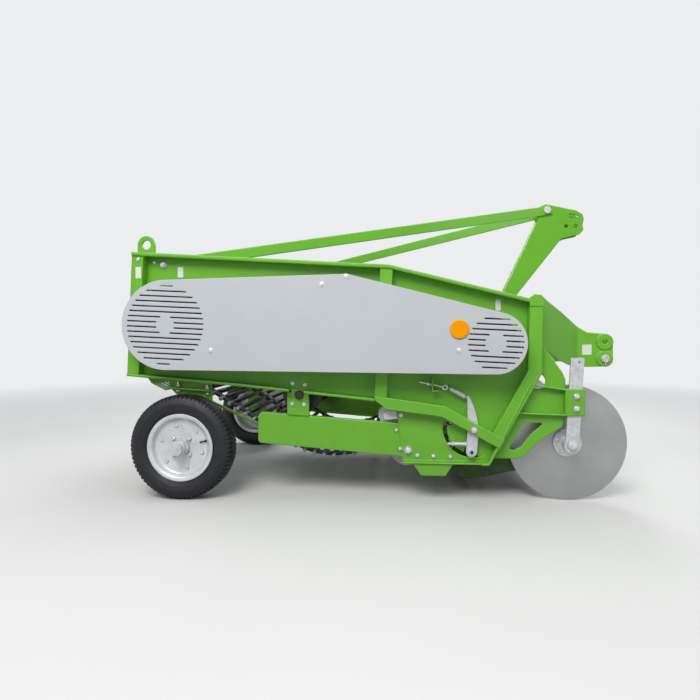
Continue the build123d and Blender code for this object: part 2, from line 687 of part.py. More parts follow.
with BuildPart() as gearbox:
    with BuildSketch(side(0)) as gearbox_side:
        with Locations(FRONT_PULLEY):
            RectangleRounded(GEARBOX_L, GEARBOX_H, GEARBOX_H / 5)
    extrude(gearbox_side.sketch, amount=GEARBOX_OUT)
    bar(*FRONT_PULLEY, BEARING_R, GEARBOX_OUT, GEARBOX_OUT + BEARING_T)
    mirror(about=Plane.XZ)
    with BuildSketch(Plane.YZ.offset(FRONT_PULLEY[0] + GEARBOX_L / 2)) as nose_boss:
        with Locations((0, FRONT_PULLEY[1])):
            Circle(BEARING_R)
    extrude(nose_boss.sketch, amount=BEARING_T)

with BuildPart() as gearbox_bracket:
    low = FRONT_PULLEY[1] + GEARBOX_H / 2
    top = HEAD_BEAM[1] - HEAD_BEAM_SIZE / 2
    x0, x1 = FRONT_PULLEY[0] - GEARBOX_L / 2, HEAD_BEAM[0] + HEAD_BEAM_SIZE / 2
    rear, front = GEARBOX_FOOT
    bracket = [(x0 + rear, low), (x1 - front, low), (x1, top), (x0 + front, top)]
    plate(bracket, GEARBOX_OUT - BRACKET_T, BRACKET_T)
    mirror(about=Plane.XZ)

with BuildPart() as pto_shaft:
    start = FRONT_PULLEY[0] + GEARBOX_L / 2 + BEARING_T
    with BuildSketch(Plane.YZ.offset(start)) as pto_section:
        with Locations((0, FRONT_PULLEY[1])):
            Circle(SHAFT_R)
    extrude(pto_section.sketch, amount=PTO_X - start)

# Side shaft in its tube from the gearbox to the front pulley.
with BuildPart() as side_shaft_tube:
    bar(*FRONT_PULLEY, SHAFT_TUBE_R, GEARBOX_OUT + BEARING_T, WALL_OUT + BEARING_T)
    bar(*FRONT_PULLEY, SHAFT_R + PIN_GAP, 0, RAIL_OUT, mode=Mode.SUBTRACT)

with BuildPart() as side_shaft:
    bar(*FRONT_PULLEY, SHAFT_R, GEARBOX_OUT + BEARING_T, PULLEY_IN + PULLEY_W)

with BuildPart() as shaft_bearings:
    bar(*REAR_PULLEY, BEARING_R, WALL_OUT, WALL_OUT + BEARING_T)
    bar(*REAR_PULLEY, SHAFT_R + PIN_GAP, 0, RAIL_OUT, mode=Mode.SUBTRACT)
    mirror(about=Plane.XZ)

# ---- rod web ------------------------------------------------------------------------------
WEB_R = WEB_BELT_T / 2 + PIN_GAP  # middle line of the belts above the rollers
IDLER_TURN = math.radians(IDLER_ANGLE)
FRONT_IDLER = (
    PIVOT[0] + LEVER_REACH * math.cos(IDLER_TURN),
    PIVOT[1] + LEVER_REACH * math.sin(IDLER_TURN),
)
tilt, far = math.radians(TOP_SAG_TILT), AGITATOR_R + WEB_R + TOP_SAG_R
TOP_SAG = (AGITATOR[0] + far * math.cos(tilt), AGITATOR[1] + far * math.sin(tilt))
WEB_PATH = [
    (*FRONT_IDLER, FRONT_IDLER_R + WEB_R, 1),
    (*TOP_ROLLER, TOP_ROLLER_R + WEB_R, 1),
    (*TOP_SAG, TOP_SAG_R, -1),
    (*REAR_PULLEY, SPROCKET_R + WEB_R, 1),
    (*GUIDE, GUIDE_R + WEB_R, 1),
    (*BELLY, BELLY_R, 1),
    (*RETURN_ROLLER, RETURN_ROLLER_R + WEB_R, -1),
]
ROLLER_Y = ROLLER_OUT - ROLLER_W / 2

# Sleeved rods through two edge belts and a middle belt, at an even pitch round the loop.
with BuildPart() as rod_web:
    with BuildLine(mode=Mode.PRIVATE) as web_line:
        loop_wire(WEB_PATH, 0)
    web_wire = web_line.wire()
    rod_count = round(web_wire.length / ROD_PITCH)
    edge_in = WEB_BELT_OUT - WEB_BELT_W
    for rod_in, rod_out in ((WEB_BELT_W / 2, edge_in), (WEB_BELT_OUT, WEB_HALF)):
        with BuildSketch(side(rod_in)) as rod_ends:
            for i in range(rod_count):
                spot = web_wire.position_at(i / rod_count)
                lean = web_wire.tangent_angle_at(i / rod_count)
                with Locations((spot.X, spot.Y)):
                    RegularPolygon(ROD_R, ROD_SIDES, rotation=lean)
        extrude(rod_ends.sketch, amount=rod_out - rod_in)
    for belt_in, belt_w in ((0, WEB_BELT_W / 2), (edge_in, WEB_BELT_W)):
        loop(WEB_PATH, belt_in, belt_w, grow=WEB_BELT_T / 2)
        loop(WEB_PATH, belt_in, belt_w, grow=-WEB_BELT_T / 2, mode=Mode.SUBTRACT)
    mirror(about=Plane.XZ)


def on_shaft(r):
    """Rollers of radius r at both edges and in the middle of a shaft."""
    return [(y, ROLLER_W, r) for y in (-ROLLER_Y, 0, ROLLER_Y)]


with BuildPart() as front_idler:
    across(*FRONT_IDLER, AXLE_R, LEVER_IN + LEVER_T + NUT_T, on_shaft(FRONT_IDLER_R))

with BuildPart() as agitator_shaft:
    across(*AGITATOR, AGITATOR_SHAFT_R, WALL_IN + HANGER_T, on_shaft(AGITATOR_R))

with BuildPart() as guide_shaft:
    across(*GUIDE, AXLE_R, WALL_IN - PIN_GAP, on_shaft(GUIDE_R))

with BuildPart() as web_drive_shaft:
    half = WALL_OUT + BEARING_T
    across(*REAR_PULLEY, SHAFT_R, half, on_shaft(SPROCKET_R))
    bar(*REAR_PULLEY, SHAFT_R, half, PULLEY_IN + PULLEY_W)

with BuildPart() as return_rollers:
    bar(*RETURN_ROLLER, RETURN_ROLLER_R, ROLLER_OUT - ROLLER_W, ROLLER_OUT)
    bar(*RETURN_ROLLER, AXLE_R, ROLLER_OUT, WALL_IN)
    mirror(about=Plane.XZ)

# Rollers under the upper run, each on a short rocker bolted to the cheek.
with BuildPart() as top_rollers:
    bar(*TOP_ROLLER, TOP_ROLLER_R, ROLLER_OUT - ROLLER_W, ROLLER_OUT)
    bar(*TOP_ROLLER, AXLE_R, ROLLER_OUT, WALL_IN - ROCKER_T)
    rise, run = ROCKER_BOLT[1] - TOP_ROLLER[1], ROCKER_BOLT[0] - TOP_ROLLER[0]
    with BuildSketch(side(WALL_IN - ROCKER_T)) as rocker:
        with Locations((TOP_ROLLER[0] + run / 2, TOP_ROLLER[1] + rise / 2)):
            lean = math.degrees(math.atan2(rise, run))
            SlotCenterToCenter(math.hypot(rise, run), ROCKER_W, rotation=lean)
    extrude(rocker.sketch, amount=ROCKER_T)
    mirror(about=Plane.XZ)

# ---- tension levers -----------------------------------------------------------------------
with BuildPart() as tension_levers:
    with BuildSketch(side(LEVER_IN)) as lever:
        with BuildLine():
            Polyline((PIVOT[0] - LEVER_W / 2, PIVOT[1]), LEVER_TIP, (LEVER_TIP[0] + 8, LEVER_TIP[1]))
            ThreePointArc((LEVER_TIP[0] + 8, LEVER_TIP[1]), LEVER_BELLY, (PIVOT[0] + LEVER_W / 2, PIVOT[1]))
            Line((PIVOT[0] + LEVER_W / 2, PIVOT[1]), (PIVOT[0] - LEVER_W / 2, PIVOT[1]))
        make_face()
        middle = tuple((a + b) / 2 for a, b in zip(PIVOT, FRONT_IDLER))
        with Locations(middle):
            SlotCenterToCenter(LEVER_REACH, LEVER_W, rotation=IDLER_ANGLE)
    extrude(lever.sketch, amount=LEVER_T)
    bar(*PIVOT, PIVOT_R, WALL_OUT, RAIL_OUT - RAIL_T)
    bar(*FRONT_IDLER, AXLE_R + PIN_GAP, 0, RAIL_OUT, mode=Mode.SUBTRACT)
    mirror(about=Plane.XZ)

LEVER_MIDDLE = LEVER_IN + LEVER_T / 2


def rod_between(a, b, r, mode=Mode.ADD):
    """Round rod in the plane of the levers between two points x, z."""
    start = Vector(a[0], -LEVER_MIDDLE, a[1])
    end = Vector(b[0], -LEVER_MIDDLE, b[1])
    with BuildSketch(Plane(origin=start, z_dir=end - start)) as section:
        Circle(r)
    extrude(section.sketch, amount=(end - start).length, mode=mode)


with BuildPart() as tension_springs:
    rod_between(SPRING_HOOK, SPRING_ENDS[0], SPRING_WIRE_R)
    rod_between(*SPRING_ENDS, SPRING_R)
    rod_between(SPRING_ENDS[1], EYE_BOLT_END, EYE_BOLT_R)
    mirror(about=Plane.XZ)

with BuildPart() as spring_brackets:
    low, high = SPRING_BRACKET_Z
    x, toe = SPRING_BRACKET_X, SPRING_BRACKET_X + SPRING_BRACKET_FOOT
    hook = [
        (x, high), (x, low), (toe, low), (toe, low + BRACKET_T),
        (x + BRACKET_T, low + BRACKET_T), (x + BRACKET_T, high),
    ]
    plate(hook, WALL_OUT, POST_OUT - WALL_OUT)
    rod_between(SPRING_ENDS[1], EYE_BOLT_END, EYE_BOLT_R + PIN_GAP, mode=Mode.SUBTRACT)
    mirror(about=Plane.XZ)

# ---- head: beam, mast, braces and hitch plates --------------------------------------------
with BuildPart() as head_beam:
    with BuildSketch(side(0)) as beam_section:
        with Locations(HEAD_BEAM):
            RectangleRounded(HEAD_BEAM_SIZE, HEAD_BEAM_SIZE, HEAD_BEAM_T)
            Rectangle(
                HEAD_BEAM_SIZE - 2 * HEAD_BEAM_T, HEAD_BEAM_SIZE - 2 * HEAD_BEAM_T,
                mode=Mode.SUBTRACT,
            )
    extrude(beam_section.sketch, amount=NOSE_IN)
    mirror(about=Plane.XZ)

with BuildPart() as mast:
    plate(MAST_OUTLINE, MAST_OUT - MAST_T, MAST_T)
    for (x, z), r in ((TOP_LINK, TOP_LINK_BORE_R), (SPARE_HOLE, SPARE_HOLE_R)):
        bar(x, z, r, 0, RAIL_OUT, mode=Mode.SUBTRACT)
    bar(*MAST_PIVOT, MAST_PIN_R + PIN_GAP, 0, RAIL_OUT, mode=Mode.SUBTRACT)
    with BuildSketch(side(0)) as link_slot:
        with Locations(LINK_SLOT):
            SlotOverall(LINK_SLOT_L, LINK_SLOT_W, rotation=LINK_SLOT_TILT)
    extrude(link_slot.sketch, amount=RAIL_OUT, mode=Mode.SUBTRACT)
    back = MAST_OUTLINE[:2]
    plate([*back, *[(x + MAST_BACK_T, z) for x, z in reversed(back)]], 0, MAST_OUT - MAST_T)
    mirror(about=Plane.XZ)

with BuildPart() as braces:
    (x0, z0), (x1, z1) = BRACE_END, MAST_PIVOT
    dx, dz = (x1 - x0), (z1 - z0)
    length = math.hypot(dx, dz)
    ux, uz = dx / length, dz / length
    h = BRACE_H / 2
    corners = [(-h, -h), (length + h, -h), (length + h, h), (-h, h)]
    outline = [(x0 + a * ux - b * uz, z0 + a * uz + b * ux) for a, b in corners]
    line = [
        (x1 + 2 * h, MAST_OUT), (x1 - BRACE_FLAT, MAST_OUT),
        (x0 + BRACE_FLAT, WALL_IN - BRACE_T), (x0 - 2 * h, WALL_IN - BRACE_T),
    ]
    bent_plate([*line, *reversed([(x, y + BRACE_T) for x, y in line])], outline)
    bar(*MAST_PIVOT, MAST_PIN_R + PIN_GAP, 0, RAIL_OUT, mode=Mode.SUBTRACT)
    mirror(about=Plane.XZ)

with BuildPart() as mast_pin:
    half = MAST_OUT + BRACE_T + NUT_T
    across(*MAST_PIVOT, MAST_PIN_R, half)
    bar(*MAST_PIVOT, MAST_PIN_R + 8, MAST_OUT + BRACE_T, half)
    bar(*MAST_PIVOT, MAST_PIN_R + 8, -half, -(MAST_OUT + BRACE_T))

with BuildPart() as hitch_plates:
    (x0, y0), (x1, y1) = HITCH_PLAN_BACK, HITCH_PLAN_BEND
    slope = math.atan2(y0 - y1, x1 - x0)
    front_x = LINK_X + LINK_BOSS_R
    plan = [
        (x0, y0), (x1, y1), (front_x, y1), (front_x, y1 - HITCH_T),
        (x1 - HITCH_T * math.tan(slope / 2), y1 - HITCH_T), (x0 - HITCH_T / math.sin(slope), y0),
    ]
    tip = [(front_x, LINK_UPPER_Z), (front_x, LINK_LOWER_Z)]
    bent_plate(plan, [*HITCH_SIDE[:9], *tip, *HITCH_SIDE[9:]])
    inner = y1 - 2 * HITCH_T - HITCH_GAP
    cheek_back = x1 + HITCH_T
    low, high = HITCH_SIDE[10][1], HITCH_SIDE[7][1]
    fork = [
        (cheek_back, low), (LINK_X, HITCH_SIDE[9][1]), tip[1],
        tip[0], (LINK_X, HITCH_SIDE[8][1]), (cheek_back, high),
    ]
    plate(fork, inner, HITCH_T)
    plate(strip([(cheek_back, high), (cheek_back + HITCH_T, high)], high - low), inner + HITCH_T, HITCH_GAP)
    for z in (LINK_UPPER_Z, LINK_LOWER_Z):
        bar(LINK_X, z, LINK_BOSS_R, y1, y1 + LINK_BOSS_T)
        bar(LINK_X, z, LINK_BOSS_R, inner - LINK_BOSS_T, inner + HITCH_T)
        bar(LINK_X, z, LINK_BORE_R, 0, RAIL_OUT, mode=Mode.SUBTRACT)
    mirror(about=Plane.XZ)

with BuildPart() as link_pins:
    bar(LINK_X, LINK_LOWER_Z, LINK_PIN_R, inner - LINK_BOSS_T - 15, y1 + LINK_BOSS_T)
    bar(LINK_X, LINK_LOWER_Z, LINK_PIN_R + 8, y1 + LINK_BOSS_T, y1 + LINK_BOSS_T + 10)
    mirror(about=Plane.XZ)

# ---- share ----------------------------------------------------------------------------------
with BuildPart() as share_arms:
    plate(SHARE_ARM, NOSE_IN - SHARE_ARM_T, SHARE_ARM_T)
    mirror(about=Plane.XZ)

SHARE_ARM_IN = NOSE_IN - SHARE_ARM_T
with BuildPart() as share:
    (x0, z0), (x1, z1) = SHARE_REAR, SHARE_TIP
    mid = (SHARE_STEP_X, z0 + (z1 - z0) * (SHARE_STEP_X - x0) / (x1 - x0))
    plate(strip([SHARE_REAR, mid], SHARE_T), 0, SHARE_ARM_IN)
    plate(strip([mid, SHARE_TIP], SHARE_T), 0, SHARE_HALF)
    tube_z = height_on([SHARE_REAR, SHARE_TIP], SHARE_TUBE_X) - SHARE_T - SHARE_TUBE_R
    bar(SHARE_TUBE_X, tube_z, SHARE_TUBE_R, 0, SHARE_ARM_IN)
    mirror(about=Plane.XZ)

PIECES = {
    "side_walls": side_walls, "top_rails": top_rails, "bottom_rails": bottom_rails,
    "side_posts": side_posts, "front_posts": front_posts, "front_bands": front_bands,
    "cheeks": cheeks, "skids": skids, "nose_plates": nose_plates,
    "guard_beams": guard_beams, "hangers": hangers, "lift_lugs": lift_lugs,
    "rear_cross_tube": rear_cross_tube, "rear_grate": rear_grate, "beam_stays": beam_stays,
    "wheel_legs": wheel_legs, "tyre_right": tyre_right, "rim_right": rim_right,
    "hub_right": hub_right, "tyre_left": tyre_left, "rim_left": rim_left,
    "hub_left": hub_left, "disc_brackets": disc_brackets, "disc_arms": disc_arms,
    "blade_right": blade_right, "disc_hub_right": disc_hub_right,
    "blade_left": blade_left, "disc_hub_left": disc_hub_left,
    "drive_cover": drive_cover, "side_reflector": side_reflector,
    "front_pulley": front_pulley, "rear_pulley": rear_pulley, "drive_belts": drive_belts,
    "gearbox": gearbox, "gearbox_bracket": gearbox_bracket, "pto_shaft": pto_shaft,
    "side_shaft_tube": side_shaft_tube, "side_shaft": side_shaft,
    "shaft_bearings": shaft_bearings, "rod_web": rod_web, "front_idler": front_idler,
    "agitator_shaft": agitator_shaft, "guide_shaft": guide_shaft,
    "web_drive_shaft": web_drive_shaft, "return_rollers": return_rollers,
    "top_rollers": top_rollers,
    "tension_levers": tension_levers, "tension_springs": tension_springs,
    "spring_brackets": spring_brackets, "head_beam": head_beam, "mast": mast,
    "braces": braces, "mast_pin": mast_pin, "hitch_plates": hitch_plates,
    "link_pins": link_pins, "share_arms": share_arms, "share": share,
}
for name, piece in PIECES.items():
    save(piece, name)
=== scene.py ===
"""Looks of a two-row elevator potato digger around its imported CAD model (Blender 4.5).

Metres, X forward, Y to the machine's left, Z up. Side pieces are made once for the right
side (-Y) and again for the left. Side outlines are points x, z.
"""

import math

import bmesh
import bpy
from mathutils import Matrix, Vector


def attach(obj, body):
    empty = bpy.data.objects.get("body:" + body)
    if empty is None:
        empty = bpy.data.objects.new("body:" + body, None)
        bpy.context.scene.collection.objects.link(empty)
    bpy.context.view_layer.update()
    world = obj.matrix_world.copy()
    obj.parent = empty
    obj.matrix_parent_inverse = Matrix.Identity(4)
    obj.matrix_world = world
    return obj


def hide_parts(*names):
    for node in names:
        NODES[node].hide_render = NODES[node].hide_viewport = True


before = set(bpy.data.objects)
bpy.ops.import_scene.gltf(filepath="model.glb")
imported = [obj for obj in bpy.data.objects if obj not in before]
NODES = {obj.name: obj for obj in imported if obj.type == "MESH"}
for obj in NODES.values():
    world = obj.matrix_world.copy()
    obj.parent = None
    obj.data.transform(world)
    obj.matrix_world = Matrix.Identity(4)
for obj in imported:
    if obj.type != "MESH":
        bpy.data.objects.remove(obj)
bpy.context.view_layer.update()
SIDES = (("right", -1), ("left", 1))
FULL = 2 * math.pi


# ---- materials ------------------------------------------------------------------------
def rgb(r, g, b):
    """Linear colour of an sRGB colour given in 0..255."""
    return tuple(((c / 255 + 0.055) / 1.055) ** 2.4 if c > 10 else c / 3295 for c in (r, g, b)) + (1,)


def add_node(tree, kind, links=(), **values):
    """A node with its attributes (lower case), its sockets' values (capitals) and its links."""
    n = tree.nodes.new(kind)
    for key, value in values.items():
        if key.islower():
            setattr(n, key, value)
        else:
            n.inputs[key.replace("_", " ")].default_value = value
    for key, source in links:
        tree.links.new(source, n.inputs[key])
    return n


def add_ramp(tree, source, low, high, start, end):
    """A value between low and high as the source goes from start to end."""
    ends = {"From_Min": start, "From_Max": end, "To_Min": low, "To_Max": high}
    return add_node(tree, "ShaderNodeMapRange", [("Value", source)], **ends).outputs["Result"]


class Finish:
    """A material under construction: its tree, its shader and its object coordinates."""

    def __init__(self, name, **sockets):
        self.mat = bpy.data.materials.new(name)
        self.mat.use_nodes = True
        self.tree = self.mat.node_tree
        self.shader = self.tree.nodes["Principled BSDF"]
        for key, value in sockets.items():
            self.shader.inputs[key.replace("_", " ")].default_value = value
        self.coords = self.node("ShaderNodeTexCoord").outputs["Object"]

    def node(self, kind, links=(), **values):
        return add_node(self.tree, kind, links, **values)

    def noise(self, scale, detail=4, coords=None):
        return self.node(
            "ShaderNodeTexNoise", [("Vector", coords or self.coords)],
            Scale=scale, Detail=detail, Roughness=0.55,
        ).outputs["Fac"]

    def spread(self, source, low, high, start=0.3, end=0.7):
        return add_ramp(self.tree, source, low, high, start, end)

    def split(self, vector):
        return self.node("ShaderNodeSeparateXYZ", [("Vector", vector)]).outputs

    def mix(self, factor, a, b):
        n = self.node("ShaderNodeMix", data_type="RGBA")
        self.tree.links.new(factor, n.inputs["Factor"])
        for socket, value in ((n.inputs[6], a), (n.inputs[7], b)):
            if isinstance(value, tuple):
                socket.default_value = value
            else:
                self.tree.links.new(value, socket)
        return n.outputs[2]

    def math(self, operation, a, b):
        n = self.node("ShaderNodeMath", operation=operation)
        for socket, value in zip(n.inputs, (a, b)):
            if isinstance(value, (int, float)):
                socket.default_value = value
            else:
                self.tree.links.new(value, socket)
        return n.outputs[0]

    def set(self, key, source):
        self.tree.links.new(source, self.shader.inputs[key])

    def bump(self, height, strength, distance=0.001, edge=0.0):
        """Bump from a height, over edges rounded to the radius edge."""
        links = [("Height", height)]
        if edge:
            links.append(("Normal", self.node("ShaderNodeBevel", samples=4, Radius=edge).outputs[0]))
        n = self.node("ShaderNodeBump", links, Strength=strength, Distance=distance)
        self.set("Normal", n.outputs[0])


# Painted highlight on upper roundings, a paler paint as if they caught the sky: times the paint's own colour,
# plus, at most.
HIGHLIGHT_TIMES, HIGHLIGHT_PLUS, HIGHLIGHT_MOST = 1.35, 0.17, 0.85
# Heights between which dust fades out, and the dust's colour.
DUST_LOW, DUST_HIGH, DUST = 0.12, 0.75, rgb(140, 132, 112)


def painted(name, colour, shade, coat=0.2, rough=(0.30, 0.44), edge=0.008, dust=0.25, painted_highlight=0.95):
    """Sprayed paint: slight mottle, orange peel, a painted highlight on upper roundings and dust low down."""
    f = Finish(name, Coat_Weight=coat, Coat_Roughness=0.12, Specular_IOR_Level=0.3)
    body = f.mix(f.spread(f.noise(3.5, 5), 0.0, 1.0), colour, shade)
    if edge:
        # Painted highlight: where the rounded normal tips further up than the face, the paint is mixed
        # towards a paler tone.
        bent = f.node("ShaderNodeBevel", samples=3, Radius=edge).outputs[0]
        flat = f.node("ShaderNodeNewGeometry").outputs["Normal"]
        rise = f.math("SUBTRACT", f.split(bent)["Z"], f.split(flat)["Z"])
        pale = tuple(min(HIGHLIGHT_MOST, c * HIGHLIGHT_TIMES + HIGHLIGHT_PLUS) for c in colour[:3]) + (1,)
        body = f.mix(f.spread(rise, 0.0, painted_highlight, 0.03, 0.35), body, pale)
    low = f.spread(f.split(f.coords)["Z"], dust, 0.0, DUST_LOW, DUST_HIGH)
    speckle = f.math("MULTIPLY", low, f.spread(f.noise(28, 6), 0.0, 1.0, 0.42, 0.72))
    f.set("Base Color", f.mix(speckle, body, DUST))
    f.set("Roughness", f.math("ADD", f.spread(f.noise(9, 3), *rough), f.math("MULTIPLY", speckle, 0.4)))
    f.bump(f.noise(650, 2), 0.05, 0.0006, edge)
    return f.mat


def metal(name, colour, shade, rough=(0.3, 0.5), metallic=0.9, grain=60, edge=0.001):
    """Plated or bare steel with a faint grain."""
    f = Finish(name, Metallic=metallic)
    f.set("Base Color", f.mix(f.spread(f.noise(grain, 5), 0.0, 1.0), colour, shade))
    f.set("Roughness", f.spread(f.noise(grain / 2, 4), *rough))
    f.bump(f.noise(grain * 8, 3), 0.08, 0.0005, edge)
    return f.mat


def galvanised(name):
    """Hot-dip zinc: crystal patches of slightly different grey, over a soft mottle."""
    f = Finish(name, Metallic=0.35)
    cells = f.node("ShaderNodeTexVoronoi", [("Vector", f.coords)], Scale=75.0).outputs["Color"]
    patch = f.node("ShaderNodeRGBToBW", [("Color", cells)]).outputs[0]
    tone = f.mix(f.spread(patch, 0.0, 1.0, 0.1, 0.9), rgb(212, 216, 217), rgb(190, 194, 196))
    stain = f.spread(f.noise(11, 6), 0.0, 0.4, 0.48, 0.75)
    f.set("Base Color", f.mix(stain, tone, rgb(172, 175, 175)))
    f.set("Roughness", f.spread(f.noise(35, 4), 0.34, 0.52))
    f.bump(f.noise(240, 4), 0.10, 0.0006, 0.0012)
    return f.mat


def turned_steel(name, x, z):
    """Rolled steel disc with fine rings about its axle at x, z and faint heat stains."""
    f = Finish(name, Metallic=0.75)
    moved = f.node("ShaderNodeVectorMath", [(0, f.coords)], operation="SUBTRACT")
    moved.inputs[1].default_value = (x, 0, z)
    parts = f.split(moved.outputs[0])
    flat = f.node("ShaderNodeCombineXYZ", [("X", parts["X"]), ("Y", parts["Z"])])
    reach = f.node("ShaderNodeVectorMath", [(0, flat.outputs[0])], operation="LENGTH").outputs["Value"]
    rings = f.noise(420, 3, coords=f.node("ShaderNodeCombineXYZ", [("X", reach)]).outputs[0])
    tone = f.mix(f.spread(f.noise(5, 6), 0.0, 1.0), rgb(176, 177, 177), rgb(160, 160, 161))
    f.set("Base Color", f.mix(f.spread(rings, 0.0, 0.35), tone, rgb(140, 140, 142)))
    f.set("Roughness", f.spread(rings, 0.34, 0.52))
    f.bump(rings, 0.12, 0.0004, 0.001)
    return f.mat


def rubber(name, colour, shade, rough=(0.55, 0.75), grain=30, bump=0.15):
    """Rubber or matt plastic with a fine grain."""
    f = Finish(name, Specular_IOR_Level=0.4)
    f.set("Base Color", f.mix(f.spread(f.noise(grain, 6), 0.0, 1.0), colour, shade))
    f.set("Roughness", f.spread(f.noise(grain * 2, 4), *rough))
    f.bump(f.noise(grain * 22, 3), bump, 0.0006)
    return f.mat


def lens(name):
    """Amber reflector: small cube-corner cells under a matt face."""
    f = Finish(name, Roughness=0.35, Specular_IOR_Level=0.1)
    cells = f.node("ShaderNodeTexVoronoi", [("Vector", f.coords)], Scale=230.0).outputs["Distance"]
    f.set("Base Color", f.mix(f.spread(cells, 0.0, 1.0, 0.1, 0.7), rgb(255, 184, 0), rgb(246, 150, 0)))
    f.bump(cells, 0.35, 0.001)
    return f.mat


DISC_AXLE = (1.033, 0.312)
LEAF = rgb(110, 184, 46), rgb(103, 175, 41)

GREEN = painted("green_paint", *LEAF)
# Rails: a wider and stronger painted highlight along their lips.
RAIL = painted("rail_paint", *LEAF, edge=0.014, painted_highlight=1.0)
MAST = painted("mast_paint", *LEAF, 0.0, (0.55, 0.65), painted_highlight=0.5)
PLAIN = painted("flush_green_paint", *LEAF, edge=0.0)
# Beam stays: a darker green that stands in for the shade they lie in, painted shade.
STAY_IN_PAINTED_SHADE = painted("green_paint_darkened_as_shade", rgb(74, 130, 34), rgb(66, 118, 30))
# Share and its arms: a very dark green that stands in for the shade under the cheek, painted shade; rough,
# almost uncoated paint for wear.
SHARE = painted("worn_and_shade_darkened_green_paint", rgb(44, 78, 16), rgb(36, 64, 14), 0.05, (0.45, 0.6))
COVER = painted("cover_paint", rgb(198, 203, 209), rgb(193, 198, 204), 0.1, (0.38, 0.5), 0.006, 0.06, 0.35)
LABEL = painted("blank_label", rgb(232, 232, 226), rgb(226, 226, 218), 0.1, (0.4, 0.5), 0.0, 0.1)
CAST = painted("cast_grey", rgb(70, 72, 74), rgb(54, 56, 58), 0.05, (0.45, 0.6), 0.006, painted_highlight=0.2)
ZINC = metal("zinc_plate", rgb(226, 228, 231), rgb(200, 203, 208), (0.22, 0.36), 0.45, edge=0.0015)
WASHER = metal("dull_zinc", rgb(172, 174, 176), rgb(146, 148, 150), (0.35, 0.5), 0.5)
ROD_END = metal("rod_end_steel", rgb(156, 152, 162), rgb(118, 116, 124), (0.3, 0.45), 0.5)
RIM = metal("rim_zinc", rgb(222, 225, 228), rgb(200, 204, 208), (0.26, 0.4), 0.3, grain=14, edge=0.0015)
DARK = metal("dark_steel", rgb(64, 64, 66), rgb(40, 40, 42), (0.4, 0.6), 0.6)
GALV = galvanised("galvanised_steel")
BLADE = turned_steel("disc_steel", *DISC_AXLE)
TYRE = rubber("tyre_rubber", rgb(29, 30, 36), rgb(20, 21, 26), (0.42, 0.6))
BELT = rubber("belt_rubber", rgb(36, 35, 38), rgb(22, 22, 24), (0.5, 0.7))
ROD = rubber("rod_sleeve", rgb(58, 62, 52), rgb(36, 39, 32), (0.22, 0.4), 18, 0.08)
ROLLER = rubber("roller_plastic", rgb(232, 230, 236), rgb(216, 214, 220), (0.35, 0.5), 20, 0.05)
CAP = rubber("black_cap", rgb(38, 38, 42), rgb(28, 28, 32), (0.35, 0.5))
LENS = lens("amber_lens")

# Nodes that aren't plain green.
LOOKS = {
    "drive_cover": COVER, "side_reflector": LENS, "gearbox": CAST, "mast": MAST, "beam_stays": STAY_IN_PAINTED_SHADE,
    "top_rails": RAIL, "bottom_rails": RAIL, "share": SHARE, "share_arms": SHARE,
    "rim_right": RIM, "rim_left": RIM, "hub_right": GALV, "hub_left": GALV,
    "blade_right": BLADE, "blade_left": BLADE, "disc_arms": GALV,
    "disc_hub_right": GALV, "disc_hub_left": GALV, "tension_levers": GALV, "tension_springs": ZINC,
    "mast_pin": ZINC, "link_pins": ZINC, "pto_shaft": ZINC, "side_shaft": ZINC,
    "tyre_right": TYRE, "tyre_left": TYRE, "rod_web": ROD, "drive_belts": BELT,
    "front_pulley": DARK, "rear_pulley": DARK, "shaft_bearings": DARK, "guide_shaft": DARK,
    "agitator_shaft": DARK, "web_drive_shaft": DARK,
    "front_idler": ROLLER, "top_rollers": ROLLER, "return_rollers": ROLLER,
}
for node_name, node_object in NODES.items():
    node_object.data.materials.clear()
    node_object.data.materials.append(LOOKS.get(node_name, GREEN))

# ---- mesh helpers ---------------------------------------------------------------------
SHARP = math.radians(38)      # edges bent further than this stay sharp


def ring_points(middle, radius, across, up, sides):
    """Points of a circle that two directions span."""
    turns = [FULL * k / sides for k in range(sides)]
    return [middle + radius * (math.cos(t) * across + math.sin(t) * up) for t in turns]


def clean(mesh):
    """Join double points, turn all faces outward and shade them smooth between sharp edges."""
    bm = bmesh.new()
    bm.from_mesh(mesh)
    bmesh.ops.remove_doubles(bm, verts=bm.verts, dist=1e-6)
    bmesh.ops.recalc_face_normals(bm, faces=bm.faces)
    bm.to_mesh(mesh)
    bm.free()
    mesh.shade_smooth()
    mesh.set_sharp_from_angle(angle=SHARP)


